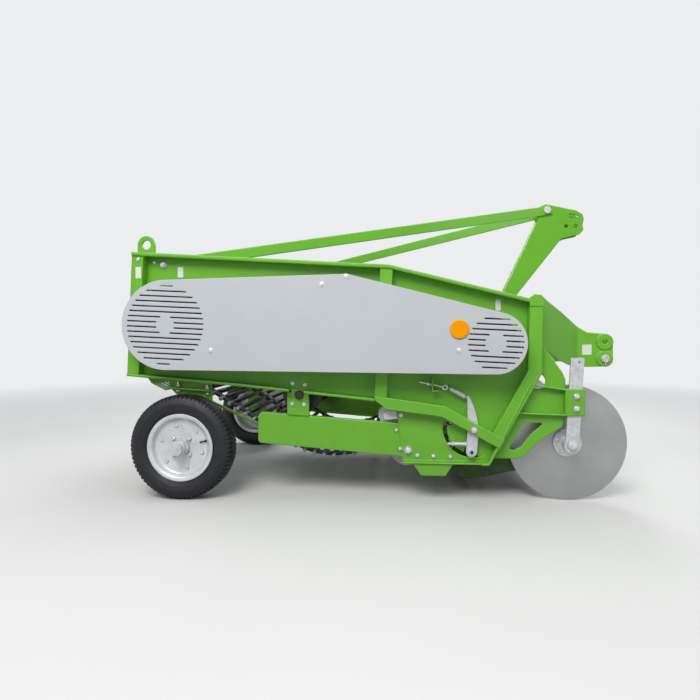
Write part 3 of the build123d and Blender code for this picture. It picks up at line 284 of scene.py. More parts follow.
class Shape:
    """Vertices and faces gathered into one mesh piece."""

    def __init__(self):
        self.points, self.faces = [], []

    def grid(self, rows, round_trip=False, flip=False):
        """Surface over closed rows of points, each as long as the others."""
        base, wide = len(self.points), len(rows[0])
        self.points += [tuple(p) for row in rows for p in row]
        for i in range(len(rows) - (0 if round_trip else 1)):
            for j in range(wide):
                a = base + i * wide + j
                b = base + i * wide + (j + 1) % wide
                c = base + (i + 1) % len(rows) * wide + (j + 1) % wide
                d = base + (i + 1) % len(rows) * wide + j
                self.faces.append((a, d, c, b) if flip else (a, b, c, d))

    def cap(self, ring, flip=False):
        """One flat face over a ring of points."""
        base = len(self.points)
        self.points += [tuple(p) for p in ring]
        loop = list(range(base, base + len(ring)))
        self.faces.append(tuple(reversed(loop)) if flip else tuple(loop))

    def rod(self, start, end, radius, sides=12):
        """Straight bar between two points, with closed ends."""
        start, end = Vector(start), Vector(end)
        across = (end - start).orthogonal().normalized()
        up = (end - start).normalized().cross(across)
        rings = [ring_points(middle, radius, across, up, sides) for middle in (start, end)]
        self.grid(rings)
        self.cap(rings[0], flip=True)
        self.cap(rings[1])

    def turned(self, profile, origin, axis, sides=32):
        """Solid of revolution; profile columns: distance along the axis, radius."""
        axis = Vector(axis).normalized()
        across = axis.orthogonal().normalized()
        up = axis.cross(across)
        self.grid([ring_points(Vector(origin) + reach * axis, r, across, up, sides) for reach, r in profile])

    def prism(self, near, far, flip=False):
        """Solid between two flat outlines."""
        self.grid([near, far], flip=flip)
        self.cap(near)
        self.cap(far, flip=True)

    def tube(self, path, radius, sides=8, closed=False):
        """Round tube along a line of points."""
        count = len(path)
        rows = []
        up = None
        for i, point in enumerate(path):
            ahead = Vector(path[(i + 1) % count] if closed or i + 1 < count else path[i])
            behind = Vector(path[i - 1] if closed or i else path[0])
            along = (ahead - behind).normalized()
            up = along.orthogonal() if up is None else (up - up.dot(along) * along)
            up.normalize()
            rows.append(ring_points(Vector(point), radius, up, along.cross(up), sides))
        self.grid(rows, round_trip=closed)
        if not closed:
            self.cap(rows[0], flip=True)
            self.cap(rows[-1])

    def piece(self, name, mat, body="frame", node=None):
        """The shape as an object that rides on a body, shown in place of a node if one is named."""
        mesh = bpy.data.meshes.new(name)
        mesh.from_pydata(self.points, [], self.faces)
        mesh.validate()
        mesh.materials.append(mat)
        clean(mesh)
        obj = bpy.data.objects.new(name, mesh)
        bpy.context.scene.collection.objects.link(obj)
        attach(obj, body)
        if node:
            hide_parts(node)


class Bolts(Shape):
    """Hex heads and nuts, with their washers apart as they have another finish."""

    def __init__(self):
        super().__init__()
        self.washers = Shape()

    def bolt(self, spot, axis, size, thread=0.0):
        """Hex head on a washer, its seat at spot and its head towards axis."""
        spot, axis = Vector(spot), Vector(axis).normalized()
        base, top = size * 0.18, size * 0.75
        washer = [(0, 0.0), (0, size * 1.3), (base * 0.8, size * 1.3), (base, size * 1.22), (base, 0.0)]
        crown = [(-0.05, 0.84), (0.07, 0.74), (0.12, 0.45), (0.13, 0.0)]
        self.washers.turned(washer, spot, axis, 20)
        self.rod(spot + base * axis, spot + top * axis, size * 0.98, 6)
        self.turned([(top + size * reach, size * r) for reach, r in crown], spot, axis, 18)
        if thread:
            self.rod(spot + top * axis, spot + (top + thread) * axis, size * 0.5)

    def pieces(self, name, body="frame"):
        self.piece(name, ZINC, body)
        self.washers.piece(name.replace("bolts", "washers"), WASHER, body)


def on_circle(centre, radius, turn):
    """Point x, z at an angle round a centre x, z."""
    return centre[0] + radius * math.cos(turn), centre[1] + radius * math.sin(turn)


def slab(name, outline, low, high, mat, node=None):
    """Flat plate on each side between two distances from the centre plane."""
    for side_name, way in SIDES:
        shape = Shape()
        near, far = ([(x, way * y, z) for x, z in outline] for y in (high, low))
        shape.prism(near, far)
        shape.piece(f"{name}_{side_name}", mat, node=node if side_name == "right" else None)


def ribbon(line, width):
    """Outline of a strip of that width along a line of points."""
    edges = ([], [])
    for i, (x, z) in enumerate(line):
        (ax, az), (bx, bz) = line[max(i - 1, 0)], line[min(i + 1, len(line) - 1)]
        long = math.hypot(bx - ax, bz - az)
        for edge, reach in zip(edges, (width / 2, -width / 2)):
            edge.append((x - (bz - az) / long * reach, z + (bx - ax) / long * reach))
    return [*edges[0], *reversed(edges[1])]


ROUND_STEPS = 5


def rounded(points, radius):
    """Outline with its corners rounded; a corner is x, z and optionally its own radius."""
    out = []
    for i, point in enumerate(points):
        corner = Vector(point[:2])
        r = point[2] if len(point) > 2 else radius
        before = Vector(points[i - 1][:2]) - corner
        after = Vector(points[(i + 1) % len(points)][:2]) - corner
        half = before.angle(after) / 2
        reach = min(r / math.tan(half), before.length * 0.45, after.length * 0.45)
        a, b = corner + before.normalized() * reach, corner + after.normalized() * reach
        for k in range(ROUND_STEPS + 1):
            t = k / ROUND_STEPS
            spot = a * (1 - t) ** 2 + corner * 2 * t * (1 - t) + b * t ** 2
            out.append((spot.x, spot.y))
    return out


def sector(centre, outer, inner, start, step, count):
    """Outline of a part of a ring, from an angle in degrees by count steps."""
    turns = [math.radians(start + step * k) for k in range(count + 1)]
    outside = [on_circle(centre, outer, t) for t in turns]
    inside = [on_circle(centre, inner, t) for t in turns]
    return [*outside, *reversed(inside)]


# ---- tyres ----------------------------------------------------------------------------
AXLE = (-1.047, 0.750, 0.283)      # middle of a wheel
BEAD_Y, BEAD_R, LIP_R = 0.0547, 0.1653, 0.183
LUGS = 72
GROOVE = 0.007
SHOULDER_Y, SHOULDER_WIDE = 0.050, 0.02
# Shares of a groove's depth: towards the axle, and on the shoulders towards the tyre's middle.
SINK, DRAW = 0.8, 0.7
# Steps round one lug: share of its pitch, 1 in a cross groove.
LUG_STEPS = ((0.0, 0), (0.03, 1), (0.30, 1), (0.33, 0), (0.66, 0))
# Half section from the middle to the bead: distance from the middle, radius, and
# 1 in a groove round the tyre or 2 where cross grooves lie.
CROWN = [
    (0.0000, 0.2830, 0), (0.0070, 0.2830, 0), (0.0075, 0.2830, 1), (0.0120, 0.2829, 1),
    (0.0125, 0.2829, 0), (0.0270, 0.2826, 0), (0.0275, 0.2826, 1), (0.0325, 0.2824, 1),
    (0.0330, 0.2824, 2), (0.0400, 0.2820, 2), (0.0460, 0.2812, 2), (0.0520, 0.2790, 2),
    (0.0570, 0.2760, 2), (0.0610, 0.2722, 2), (0.0640, 0.2688, 2), (0.0662, 0.2650, 2),
    (0.0672, 0.2630, 0),
]
FLANK = [
    (0.0700, 0.2560), (0.0735, 0.2480), (0.0757, 0.2400), (0.0760, 0.2390), (0.0770, 0.2380),
    (0.0773, 0.2320), (0.0770, 0.2260), (0.0760, 0.2250), (0.0752, 0.2180), (0.0735, 0.2090),
    (0.0705, 0.2010), (0.0700, 0.2000), (0.0670, 0.1960), (0.0650, 0.1950), (0.0610, 0.1895),
    (0.0575, 0.1855), (BEAD_Y, LIP_R), (BEAD_Y, BEAD_R),
]


def tyre(name, way):
    """Tyre with grooves round it and cross grooves on its shoulders."""
    section = [*CROWN, *[(y, r, 0) for y, r in FLANK]]
    section = [(-y, r, kind) for y, r, kind in reversed(section[1:])] + section
    rows = []
    for lug in range(LUGS):
        for part, deep in LUG_STEPS:
            turn = FULL * (lug + part) / LUGS
            row = []
            for y, r, kind in section:
                depth = GROOVE if kind == 1 else GROOVE * deep if kind == 2 else 0.0
                shift = 0.0 if abs(y) < SHOULDER_Y else depth * (abs(y) - SHOULDER_Y) / SHOULDER_WIDE
                # Grooves of the two shoulders are half a pitch apart.
                angle = turn + (math.pi / LUGS if y > 0 else 0.0)
                out = math.copysign(max(abs(y) - shift * DRAW, 0.0), y)
                x, z = on_circle((AXLE[0], AXLE[2]), r - depth * SINK, angle)
                row.append((x, way * AXLE[1] + out, z))
            rows.append(row)
    shape = Shape()
    shape.grid(rows, round_trip=True)
    shape.piece(f"tread_{name}", TYRE, f"wheel_{name}", node=f"tyre_{name}")


for side_name, way in SIDES:
    tyre(side_name, way)

# ---- rims, wheel bolts, valves and hub rings ----------------------------------------------
DISH_Y = 0.0300       # face of the wheel disc, outboard of the tyre's middle
DISH_BACK, BORE_R, VALVE_R = 0.0240, 0.0456, 0.143
VALVE_TURN = math.radians(14.3)
# Rings of bolts: count, radius, first angle, lift of the seat, half width, thread.
WHEEL_BOLTS = ((6, 0.117, 44.7, 0.001, 0.0075, 0.0), (4, 0.062, 45, 0.0, 0.0105, 0.012))
# Sections: distance outboard of the tyre's middle, radius.
LIP = [
    (0.0560, 0.1602), (0.0585, 0.1650), (0.0602, 0.1710), (0.0612, 0.1770), (0.0610, 0.1812),
    (0.0592, 0.1830), (0.0566, 0.1826), (0.0552, 0.1800), (0.0550, 0.1665), (0.0530, 0.1650),
]
RIM_SECTION = [
    (DISH_Y, BORE_R), (DISH_Y, 0.1400), (0.0312, 0.1440), (0.0345, 0.1478), (0.0410, 0.1520),
    (0.0500, 0.1570), *LIP, *[(-y, r) for y, r in reversed(LIP)], (0.0150, 0.1600), (0.0235, 0.1530),
    (DISH_BACK, 0.1400), (DISH_BACK, BORE_R), (DISH_Y, BORE_R),
]
COLLAR = [
    (0.0795, 0.0325), (0.0795, 0.0385), (0.0825, 0.0395), (0.0870, 0.0395), (0.0890, 0.0385),
    (0.0890, 0.0325),
]
# Section of the valve: distance along it from its foot, radius.
VALVE = [
    (0.0, 0.0), (0.0, 0.0062), (0.008, 0.0058), (0.010, 0.0042), (0.026, 0.0040), (0.027, 0.0048),
    (0.036, 0.0048), (0.037, 0.0),
]
for side_name, way in SIDES:
    body = f"wheel_{side_name}"
    middle, axis = (AXLE[0], way * AXLE[1], AXLE[2]), (0, way, 0)
    face = way * (AXLE[1] + DISH_Y)
    studs = Bolts()
    for count, radius, first, lift, size, thread in WHEEL_BOLTS:
        for k in range(count):
            x, z = on_circle((AXLE[0], AXLE[2]), radius, math.radians(first + 360 / count * k))
            studs.bolt((x, face + way * lift, z), axis, size, thread)
    studs.pieces(f"wheel_bolts_{side_name}", body)
    rim = Shape()
    rim.turned(RIM_SECTION, middle, axis, 96)
    rim.piece(f"rim_body_{side_name}", RIM, body, node=f"rim_{side_name}")
    collar = Shape()
    collar.turned(COLLAR, middle, axis, 48)
    collar.piece(f"hub_collar_{side_name}", ZINC, body)
    out = Vector((math.cos(VALVE_TURN), 0, math.sin(VALVE_TURN)))
    valve = Shape()
    valve.turned(VALVE, Vector((AXLE[0], face + way * 0.006, AXLE[2])) + VALVE_R * out, -out, 16)
    valve.piece(f"valve_{side_name}", CAP, body)

# ---- rod web ----------------------------------------------------------------------------
ROD_R = 0.0148
ROD_PITCH = 0.056
WEB_STEP = 0.006
FIT = 0.0063          # middle line of the belts above the rollers
BELT_IN, BELT_OUT, BELT_T = 0.558, 0.618, 0.012
MIDDLE_BELT = 0.030   # half its width
LEVER_PIVOT = (0.521, 0.391)
FRONT_IDLER = on_circle(LEVER_PIVOT, 0.121, math.radians(266))
TOP_ROLLER, TOP_ROLLER_R = (0.067, 0.452), 0.052
AGITATOR, AGITATOR_R = (-0.415, 0.563), 0.110
# The upper run lies in a very flat hollow that touches the agitator.
BEND_R, BEND_TURN = 2.5, math.radians(66)
BEND = on_circle(AGITATOR, AGITATOR_R + FIT + BEND_R, BEND_TURN)
# Circles that the web's middle line follows: x, z, radius, 1 inside the loop or -1 outside it.
WEB_PATH = [
    (*FRONT_IDLER, 0.060 + FIT, 1), (*TOP_ROLLER, TOP_ROLLER_R + FIT, 1), (*BEND, BEND_R, -1),
    (-1.107, 0.943, 0.085 + FIT, 1), (-0.957, 0.647, 0.050 + FIT, 1),
    (-0.230, 0.702, 0.480, 1), (0.178, 0.265, 0.098 + FIT, -1),
]


def web_line():
    """Points along the web's closed middle line."""
    count = len(WEB_PATH)
    normals = []
    for i in range(count):
        ax, az, ar, at = WEB_PATH[i]
        bx, bz, br, bt = WEB_PATH[(i + 1) % count]
        lean = math.asin((at * ar - bt * br) / math.hypot(bx - ax, bz - az))
        normals.append(math.atan2(bz - az, bx - ax) - math.pi / 2 + lean)
    line = []
    for i in range(count):
        x, z, r, turn = WEB_PATH[i]
        half = 0 if turn > 0 else math.pi
        start, end = normals[i - 1] + half, normals[i] + half
        sweep = turn * ((turn * (end - start)) % FULL)
        steps = max(2, int(abs(sweep) * r / WEB_STEP))
        line += [on_circle((x, z), r, start + sweep * k / steps) for k in range(steps + 1)]
        nx, nz, nr, nt = WEB_PATH[(i + 1) % count]
        a, b = line[-1], on_circle((nx, nz), nr, normals[i] + (0 if nt > 0 else math.pi))
        run, rise = b[0] - a[0], b[1] - a[1]
        steps = max(1, int(math.dist(a, b) / WEB_STEP))
        line += [(a[0] + run * k / steps, a[1] + rise * k / steps) for k in range(1, steps)]
    return line


LINE = web_line()


def web_spots():
    """Place and direction of each rod on the middle line."""
    lengths = [0.0]
    for a, b in zip(LINE, LINE[1:] + LINE[:1]):
        lengths.append(lengths[-1] + math.dist(a, b))
    count = round(lengths[-1] / ROD_PITCH)
    spots = []
    i = 0
    for k in range(count):
        reach = lengths[-1] * k / count
        while lengths[i + 1] < reach:
            i += 1
        a, b = LINE[i], LINE[(i + 1) % len(LINE)]
        t = (reach - lengths[i]) / max(lengths[i + 1] - lengths[i], 1e-9)
        along = math.atan2(b[1] - a[1], b[0] - a[0])
        spots.append((a[0] + (b[0] - a[0]) * t, a[1] + (b[1] - a[1]) * t, along))
    return spots


# Sections: distance along the rod or rivet, radius.
SLEEVE = [(-0.553, 0.0), (-0.553, ROD_R - 0.002), (-0.550, ROD_R), (-0.033, ROD_R), (-0.031, 0.009)]
SLEEVES = [*SLEEVE, *[(-y, r) for y, r in reversed(SLEEVE)]]
ROD_HEAD = [
    (0.552, 0.0085), (0.619, 0.0085), (0.619, 0.0125), (0.634, 0.0125), (0.6375, 0.0100),
    (0.6395, 0.0055), (0.6395, 0.0),
]
RIVET = [(0.0060, 0.0085), (0.0085, 0.0075), (0.0095, 0.0)]
ROD_DROP = 0.003      # rods' middle lies this far outside the belts' middle
RIVET_Y = (0.571, 0.604)
MIDDLE_RIVET_Y = 0.018
rods = Shape()
heads = Shape()
for x, z, along in web_spots():
    inward = Vector((-math.sin(along), 0, math.cos(along)))
    spot = Vector((x, 0, z)) - ROD_DROP * inward
    rods.turned(SLEEVES, spot, (0, 1, 0), 14)
    for way in (-1, 1):
        heads.turned(ROD_HEAD, spot, (0, way, 0), 12)
        for y in RIVET_Y:
            heads.turned(RIVET, (x, way * y, z), inward, 9)
    for y in (-MIDDLE_RIVET_Y, MIDDLE_RIVET_Y):
        heads.turned(RIVET, (x, y, z), inward, 9)
rods.piece("web_rods", ROD, node="rod_web")
heads.piece("web_rod_ends", ROD_END)


def belt(name, low, high):
    """Flat belt along the web between two distances from the centre plane."""
    rows = []
    half = BELT_T / 2
    for i, (x, z) in enumerate(LINE):
        (ax, az), (bx, bz) = LINE[i - 1], LINE[(i + 1) % len(LINE)]
        long = math.hypot(bx - ax, bz - az) or 1.0
        nx, nz = -(bz - az) / long, (bx - ax) / long
        section = ((low, -half), (high, -half), (high, half), (low, half))
        rows.append([(x + nx * t, y, z + nz * t) for y, t in section])
    shape = Shape()
    shape.grid(rows, round_trip=True)
    shape.piece(name, BELT)


belt("web_belt_right", -BELT_OUT, -BELT_IN)
belt("web_belt_middle", -MIDDLE_BELT, MIDDLE_BELT)
belt("web_belt_left", BELT_IN, BELT_OUT)

# ---- coil springs and their eye bolts -----------------------------------------------------
LEVER_Y = 0.720
HOOK, COIL_LOW, COIL_HIGH, EYE_END = (0.4882, 0.5575), (0.478, 0.563), (0.399, 0.606), (0.238, 0.641)
COIL_R, WIRE_R, COIL_TURNS, COIL_STEPS = 0.0115, 0.0026, 16, 16
EYE_R, EYE_WIRE_R, EYE_GAP = 0.0115, 0.0036, 0.026
EYE_NUTS = ((0.068, 0.008), (0.086, 0.010))     # distance from the eye's middle, thickness
for side_name, way in SIDES:
    hook, low, high, end = (Vector((x, way * LEVER_Y, z)) for x, z in (HOOK, COIL_LOW, COIL_HIGH, EYE_END))
    along = (high - low).normalized()
    across = Vector((0, 1, 0))
    up = along.cross(across)
    path = [hook + 0.004 * up, hook - 0.006 * along, hook - 0.004 * up, low - 0.004 * along]
    for k in range(COIL_TURNS * COIL_STEPS + 1):
        turn = FULL * k / COIL_STEPS
        middle = low + (high - low) * k / (COIL_TURNS * COIL_STEPS)
        path.append(middle + COIL_R * (math.cos(turn) * across + math.sin(turn) * up))
    path += [high + 0.003 * along, high + 0.012 * along + 0.004 * up, high + 0.018 * along - 0.003 * up]
    spring = Shape()
    spring.tube(path, WIRE_R)
    spring.piece(f"coil_spring_{side_name}", ZINC, node="tension_springs")
    eye = Shape()
    eye_way = (end - high).normalized()
    start = high + EYE_GAP * eye_way
    eye.rod(start + 0.011 * eye_way, end, 0.0050, 14)
    eye.tube(ring_points(start, EYE_R, eye_way, eye_way.cross(across), 24), EYE_WIRE_R, closed=True)
    for reach, long in EYE_NUTS:
        spot = start + reach * eye_way
        eye.rod(spot, spot + long * eye_way, 0.0110, 6)
    eye.piece(f"eye_bolt_{side_name}", ZINC)

# ---- bolts on the frame -------------------------------------------------------------------
WALL, POST = 0.690, 0.744      # outer faces of the side walls and of the posts
# Columns: x, z, distance of the seat from the centre plane, half width of the head, thread.
SIDE_BOLTS = [
    (0.141, 0.458, WALL, 0.011, 0.008), (0.179, 0.268, WALL, 0.018, 0.010), (0.116, 0.376, WALL, 0.008, 0.0),
    (0.137, 0.275, WALL, 0.009, 0.0), (0.229, 0.240, WALL, 0.010, 0.006), (0.315, 0.238, WALL, 0.010, 0.006),
    (0.405, 0.236, WALL, 0.010, 0.006),
    (-0.454, 0.626, WALL, 0.010, 0.006), (-0.384, 0.619, WALL, 0.010, 0.006),
    (-0.455, 0.512, 0.694, 0.010, 0.006), (-0.388, 0.508, 0.694, 0.010, 0.006),
    (-1.306, 1.309, POST, 0.009, 0.0), (-1.239, 1.300, WALL, 0.009, 0.0), (-1.185, 1.285, WALL, 0.017, 0.012),
    (1.048, 0.570, 0.720, 0.014, 0.010), (1.048, 0.506, 0.720, 0.014, 0.010),
    (*LEVER_PIVOT, 0.750, 0.015, 0.008),
]
# Bolts through the legs' heads and the bottom rails: their seats at the first x, above and below.
LEG_BOLT_X, LEG_BOLT_Y = (-1.111, -0.943), 0.677
LEG_BOLT_HIGH, LEG_BOLT_LOW, RAIL_SLOPE = 0.6035, 0.5835, 0.089
STOP_BOLT_Z = 0.313
# Stop bolt: from x, to x, radius, sides.
STOP_BOLT = (
    (0.388, 0.492, 0.0065, 14), (0.408, 0.420, 0.0125, 6),
    (0.424, 0.478, 0.0095, 16), (0.478, 0.491, 0.0135, 6),
)
# The idler's axle, to a tenth of a millimetre.
IDLER_AXLE = tuple(round(v, 4) for v in FRONT_IDLER)
IDLER_NUT = [(0.7252, 0.0135), (0.7252, 0.0215), (0.7300, 0.0215), (0.7312, 0.0200), (0.7312, 0.0135)]
AGITATOR_CAP = [(0.694, 0.0), (0.694, 0.024), (0.708, 0.0245), (0.713, 0.022), (0.7145, 0.0)]
ARM_HOLE = (1.0650, 0, 0.7480)


def hole_shade_disc(low, high, radius):
    """Section of a thin dark disc, painted shade that shows as a hole."""
    return [(low, 0.0), (low, radius), (high, radius), (high, 0.0)]


for side_name, way in SIDES:
    axis = (0, way, 0)
    bolts = Bolts()
    for x, z, y, size, thread in SIDE_BOLTS:
        bolts.bolt((x, way * y, z), axis, size, thread)
    for x in LEG_BOLT_X:
        fall = RAIL_SLOPE * (x - LEG_BOLT_X[0])
        bolts.bolt((x, way * LEG_BOLT_Y, LEG_BOLT_HIGH - fall), (0, 0, 1), 0.012, thread=0.016)
        bolts.bolt((x, way * LEG_BOLT_Y, LEG_BOLT_LOW - fall), (0, 0, -1), 0.012)
    for x0, x1, r, sides in STOP_BOLT:
        bolts.rod((x0, way * LEVER_Y, STOP_BOLT_Z), (x1, way * LEVER_Y, STOP_BOLT_Z), r, sides)
    idler_end = (IDLER_AXLE[0], 0, IDLER_AXLE[1])
    bolts.turned(IDLER_NUT, idler_end, axis, 24)
    bolts.pieces(f"bolts_{side_name}")
    caps_and_hole_shade = Shape()
    # Thin dark discs in the arm's hole and in the idler nut's socket are painted shade for the holes' depth;
    # the agitator cap is a real cap.
    caps_and_hole_shade.turned(hole_shade_disc(0.7098, 0.7106, 0.0045), ARM_HOLE, axis, 12)
    caps_and_hole_shade.turned(hole_shade_disc(0.7374, 0.7376, 0.0105), idler_end, axis, 6)
    caps_and_hole_shade.turned(AGITATOR_CAP, (AGITATOR[0], 0, AGITATOR[1]), axis, 40)
    caps_and_hole_shade.piece(f"shaft_cap_and_hole_shade_{side_name}", CAP)

# ---- small plates -------------------------------------------------------------------------
slab("beam_end", [(0.094, 0.4135), (0.132, 0.4105), (0.152, 0.2260), (0.1215, 0.2360)], 0.6800, 0.6858, GREEN)
slab("leg_gusset", [(-0.924, 0.586), (-0.921, 0.522), (-0.930, 0.514), (-1.002, 0.514), (-1.002, 0.530)],
     0.6462, 0.6628, GREEN)
slab("arm_top", rounded([(1.0220, 0.735), (1.0900, 0.735), (1.0913, 0.7705), (1.0233, 0.7705)], 0.009),
     0.6978, 0.7102, GALV)
slab("post_top", rounded([
    (0.8045, 1.040, 0.001), (0.8045, 1.086, 0.006), (0.824, 1.100, 0.008), (0.862, 1.096, 0.010),
    (0.8735, 1.074, 0.010), (0.8735, 1.040, 0.001),
], 0.006), 0.6895, 0.7501, PLAIN)
slab("share_side", [
    (0.427, 0.300), (0.427, 0.140), (0.440, 0.122), (0.464, 0.1115), (0.505, 0.1055), (0.555, 0.1080),
    (0.597, 0.115), (0.661, 0.128), (0.751, 0.147), (0.860, 0.163), (0.925, 0.160), (0.700, 0.310),
], 0.600, 0.612, SHARE, node="share_arms")
# Lip along the cheek's front edge, bent on from its flange.
LIP_LINE = [(0.5600, 0.2100), (0.6000, 0.2090, 0.016), (0.8113, 0.6352)]
bend = rounded(LIP_LINE, 0.01)[ROUND_STEPS + 1:2 * (ROUND_STEPS + 1)]
slab("cheek_lip", ribbon([LIP_LINE[0], *bend, LIP_LINE[2]], 0.011), 0.6905, 0.7462, GREEN)
# Plates behind the cheek's arc slot, which narrow it to the idler axle's path.
SLOT_IN, SLOT_BACK, SLOT_FACE = 0.1050, 0.6862, 0.6897
slab("slot_liner", sector(LEVER_PIVOT, 0.1345, SLOT_IN, 174, 3.2, 24), SLOT_BACK, SLOT_FACE, GREEN)
slab("slot_end", sector(LEVER_PIVOT, 0.1570, SLOT_IN, 281, 3.6, 6), SLOT_BACK, SLOT_FACE, GREEN)

# ---- discs, pins and clips ----------------------------------------------------------------
DISC_BOLT_R, DISC_FACE = 0.056, 0.6346
ARM_CAP = [(0.7222, 0.0), (0.7222, 0.0235), (0.7250, 0.0230), (0.7250, 0.0)]
# Nut and thread on the arm: from y, to y, radius, sides.
ARM_NUT = ((0.7250, 0.7330, 0.0170, 6), (0.7330, 0.7385, 0.0085, 16))
CLIP_X, CLIP_Y, CLIP_HIGH, CLIP_LOW = 1.3000, 0.4465, 0.7860, 0.7230
CLIP_RING_Y, CLIP_RING_Z, CLIP_RING_R, CLIP_RING_H = 0.4500, 0.7560, 0.0150, 0.0165
ROLLER_FACE = [
    (0.606, 0.0), (0.606, 0.0505), (0.6085, 0.0505), (0.6400, 0.0480), (0.6420, 0.0440), (0.6420, 0.0),
]
for side_name, way in SIDES:
    axis = (0, way, 0)
    studs = Bolts()
    for k in range(5):
        x, z = on_circle(DISC_AXLE, DISC_BOLT_R, math.radians(72 * k + 20))
        studs.bolt((x, way * DISC_FACE, z), axis, 0.0085)
    studs.pieces(f"disc_bolts_{side_name}", f"disc_{side_name}")
    nuts = Shape()
    nuts.turned(ARM_CAP, (DISC_AXLE[0], 0, DISC_AXLE[1]), axis)
    for y0, y1, r, sides in ARM_NUT:
        nuts.rod((DISC_AXLE[0], way * y0, DISC_AXLE[1]), (DISC_AXLE[0], way * y1, DISC_AXLE[1]), r, sides)
    nuts.rod((CLIP_X, way * CLIP_Y, CLIP_HIGH), (CLIP_X, way * CLIP_Y, CLIP_LOW), 0.0032, 10)
    ring = [
        (CLIP_X + CLIP_RING_R * math.sin(a), way * CLIP_RING_Y, CLIP_RING_Z + CLIP_RING_H * math.cos(a))
        for a in (FULL * k / 24 for k in range(24))
    ]
    nuts.tube(ring, 0.0022, closed=True)
    nuts.piece(f"nuts_and_clips_{side_name}", ZINC)
    rollers = Shape()
    rollers.turned(ROLLER_FACE, (TOP_ROLLER[0], 0, TOP_ROLLER[1]), axis, 36)
    rollers.piece(f"roller_face_{side_name}", ROLLER)

# ---- blind flange over the unused shaft opening in the left wall --------------------------
OPENING = (0.613, 0.846)
FLANGE_FACE, FLANGE_BOLT_R = 0.6948, 0.051
FLANGE = [(0.6901, 0.0), (0.6901, 0.0620), (0.6940, 0.0620), (FLANGE_FACE, 0.0610), (FLANGE_FACE, 0.0)]
flange = Shape()
flange.turned(FLANGE, (OPENING[0], 0, OPENING[1]), (0, 1, 0), 48)
flange.piece("blind_flange", GREEN)
studs = Bolts()
for k in range(4):
    x, z = on_circle(OPENING, FLANGE_BOLT_R, math.radians(45 + 90 * k))
    studs.bolt((x, FLANGE_FACE, z), (0, 1, 0), 0.0065)
studs.pieces("flange_bolts")

# ---- cover screws -------------------------------------------------------------------------
SCREW = [
    (0.850, 0.0), (0.850, 0.0155), (0.8514, 0.0155), (0.8518, 0.0110), (0.8545, 0.0100),
    (0.8560, 0.0066), (0.8563, 0.0),
]
SCREW_SPOTS = ((-0.268, 1.149), (-0.860, 0.808), (0.429, 0.809), (-0.142, 1.188))
screws = Shape()
for x, z in SCREW_SPOTS:
    screws.turned(SCREW, (x, 0, z), (0, -1, 0), 24)
screws.piece("cover_screws", ZINC)

# ---- blank labels -------------------------------------------------------------------------
# Columns: low x, low z, high x, high z, face that they stick to.
LABELS = [
    (-1.322, 1.205, -1.290, 1.268, POST), (-1.104, 1.214, -1.072, 1.272, WALL),
    (0.640, 1.020, 0.667, 1.080, WALL), (1.176, 0.780, 1.228, 0.838, 0.430),
]
LABEL_LOW, LABEL_HIGH = 0.0002, 0.0010      # above that face
for side_name, way in SIDES:
    plates = Shape()
    for x0, z0, x1, z1, y in LABELS:
        low, high = sorted((way * (y + LABEL_LOW), way * (y + LABEL_HIGH)))
        corners = ((x0, z0), (x1, z0), (x1, z1), (x0, z1))
        near, far = ([(x, depth, z) for x, z in corners] for depth in (low, high))
        plates.prism(near, far, flip=True)
    plates.piece(f"blank_plates_{side_name}", LABEL)

# ---- floor, light and camera --------------------------------------------------------------
PALE = (0.84, 0.85, 0.86, 1)              # backdrop as seen
FLOOR_R, FLOOR_SIDES = 60, 64
FADE_START, FADE_END = 3.0, 9.0           # floor turns into backdrop between these distances
SKY_LOW, SKY_HIGH = 0.12, 0.60            # daylight at the horizon and overhead
GLINT_START, GLINT_END, GLINT = 0.6, 0.95, 1.15      # backdrop brightens overhead


def floor():
    """Pale floor for the eye, darker for the light that it throws back, fading into the backdrop."""
    f = Finish("studio_floor", Roughness=0.9, Specular_IOR_Level=0.2)
    rays = f.node("ShaderNodeLightPath").outputs
    mirrored = f.math("MAXIMUM", rays["Is Glossy Ray"], rays["Is Transmission Ray"])
    seen = f.math("MAXIMUM", rays["Is Camera Ray"], mirrored)
    pale = f.mix(f.spread(f.noise(0.8, 4), 0.0, 1.0), (0.66, 0.66, 0.655, 1), (0.69, 0.69, 0.685, 1))
    f.set("Base Color", f.mix(seen, (0.30, 0.30, 0.29, 1), pale))
    f.bump(f.noise(60, 4), 0.04, 0.002)
    reach = f.node("ShaderNodeVectorMath", [(0, f.coords)], operation="LENGTH").outputs["Value"]
    glow = f.node("ShaderNodeEmission", [("Color", f.mix(seen, (0.25, 0.25, 0.25, 1), PALE))], Strength=1.0)
    fade = f.spread(reach, 0.0, 1.0, FADE_START, FADE_END)
    blend = f.node("ShaderNodeMixShader", [("Fac", fade), (1, f.shader.outputs[0]), (2, glow.outputs[0])])
    f.tree.links.new(blend.outputs[0], f.tree.nodes["Material Output"].inputs["Surface"])
    ring = [(*on_circle((0, 0), FLOOR_R, FULL * k / FLOOR_SIDES), 0) for k in range(FLOOR_SIDES)]
    mesh = bpy.data.meshes.new("studio_floor")
    mesh.from_pydata(ring, [], [tuple(range(FLOOR_SIDES))])
    mesh.materials.append(f.mat)
    obj = bpy.data.objects.new("studio_floor", mesh)
    bpy.context.scene.collection.objects.link(obj)


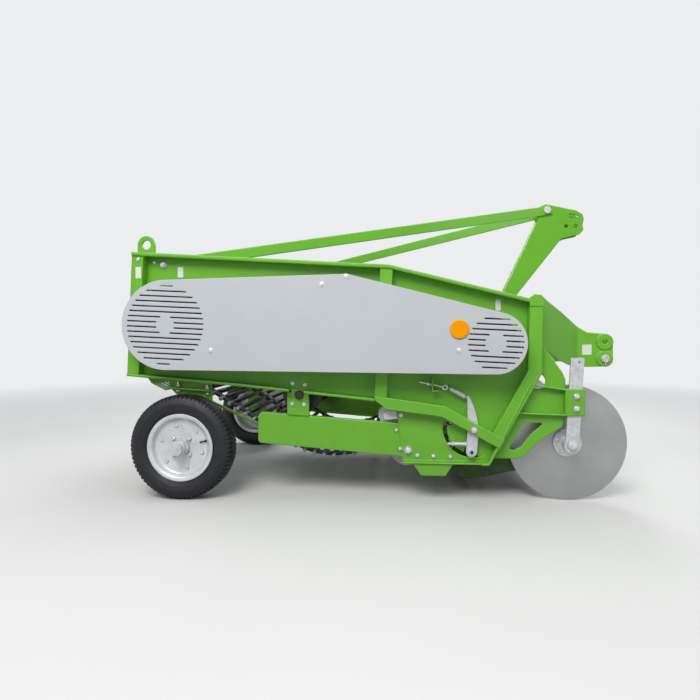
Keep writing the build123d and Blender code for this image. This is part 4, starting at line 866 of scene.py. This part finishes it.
def sky():
    """Soft daylight from above for the object, and a plain pale backdrop for the eye."""
    world = bpy.data.worlds.new("studio")
    world.use_nodes = True
    bpy.context.scene.world = world
    tree = world.node_tree
    tree.nodes.clear()
    rays = add_node(tree, "ShaderNodeLightPath").outputs
    seen = rays["Is Camera Ray"]
    for other in ("Is Transmission Ray", "Is Glossy Ray"):
        seen = add_node(tree, "ShaderNodeMath", [(0, seen), (1, rays[other])], operation="MAXIMUM").outputs[0]
    way_up = add_node(tree, "ShaderNodeTexCoord").outputs["Generated"]
    height = add_node(tree, "ShaderNodeSeparateXYZ", [("Vector", way_up)]).outputs["Z"]
    level = add_ramp(tree, height, SKY_LOW, SKY_HIGH, 0.0, 0.9)
    lit = add_node(tree, "ShaderNodeBackground", [("Strength", level)], Color=(0.93, 0.96, 1.0, 1))
    glint = add_ramp(tree, height, 1.0, GLINT, GLINT_START, GLINT_END)
    shown = add_node(tree, "ShaderNodeBackground", [("Strength", glint)], Color=PALE)
    links = [("Fac", seen), (1, lit.outputs[0]), (2, shown.outputs[0])]
    both = add_node(tree, "ShaderNodeMixShader", links).outputs[0]
    add_node(tree, "ShaderNodeOutputWorld", [("Surface", both)])


def place(name, data, spot, look):
    """Object at a spot, looking along a direction."""
    obj = bpy.data.objects.new(name, data)
    obj.location = spot
    obj.rotation_euler = look.to_track_quat("-Z", "Y").to_euler()
    bpy.context.scene.collection.objects.link(obj)
    return obj


def lamp(name, spot, target, size, power, tint=(1, 1, 1)):
    """Soft square lamp that faces its target."""
    light = bpy.data.lights.new(name, "AREA")
    light.size = size
    light.energy = power
    light.color = tint
    place(name, light, spot, Vector(target) - Vector(spot))


floor()
sky()
lamp("key", (-1.2, -5.2, 5.0), (0, 0, 0.7), 3.2, 320, (1.0, 0.985, 0.96))
lamp("fill", (4.5, -3.6, 2.0), (0.2, 0, 0.7), 2.5, 30)
lamp("sky", (0, 0.6, 5.6), (0, 0, 0.6), 5.0, 90)
lamp("back", (1.0, 4.8, 4.0), (0, 0, 0.8), 3.0, 160)

# The camera stands to the machine's right, turned a little to its rear and tipped slightly down.
CAMERA_SPOT = (0.109, -3.4885, 0.853)
SENSOR, LENS_PER_SENSOR = 36, 515.6 / 700
PAN, DIP = math.radians(5.0), math.atan2(8, 515.6)
eye = bpy.data.cameras.new("camera")
eye.sensor_width = SENSOR
eye.lens = SENSOR * LENS_PER_SENSOR
look = Vector((-math.sin(PAN) * math.cos(DIP), math.cos(PAN) * math.cos(DIP), -math.sin(DIP)))
bpy.context.scene.camera = place("camera", eye, CAMERA_SPOT, look)
bpy.context.scene.view_settings.view_transform = "Standard"
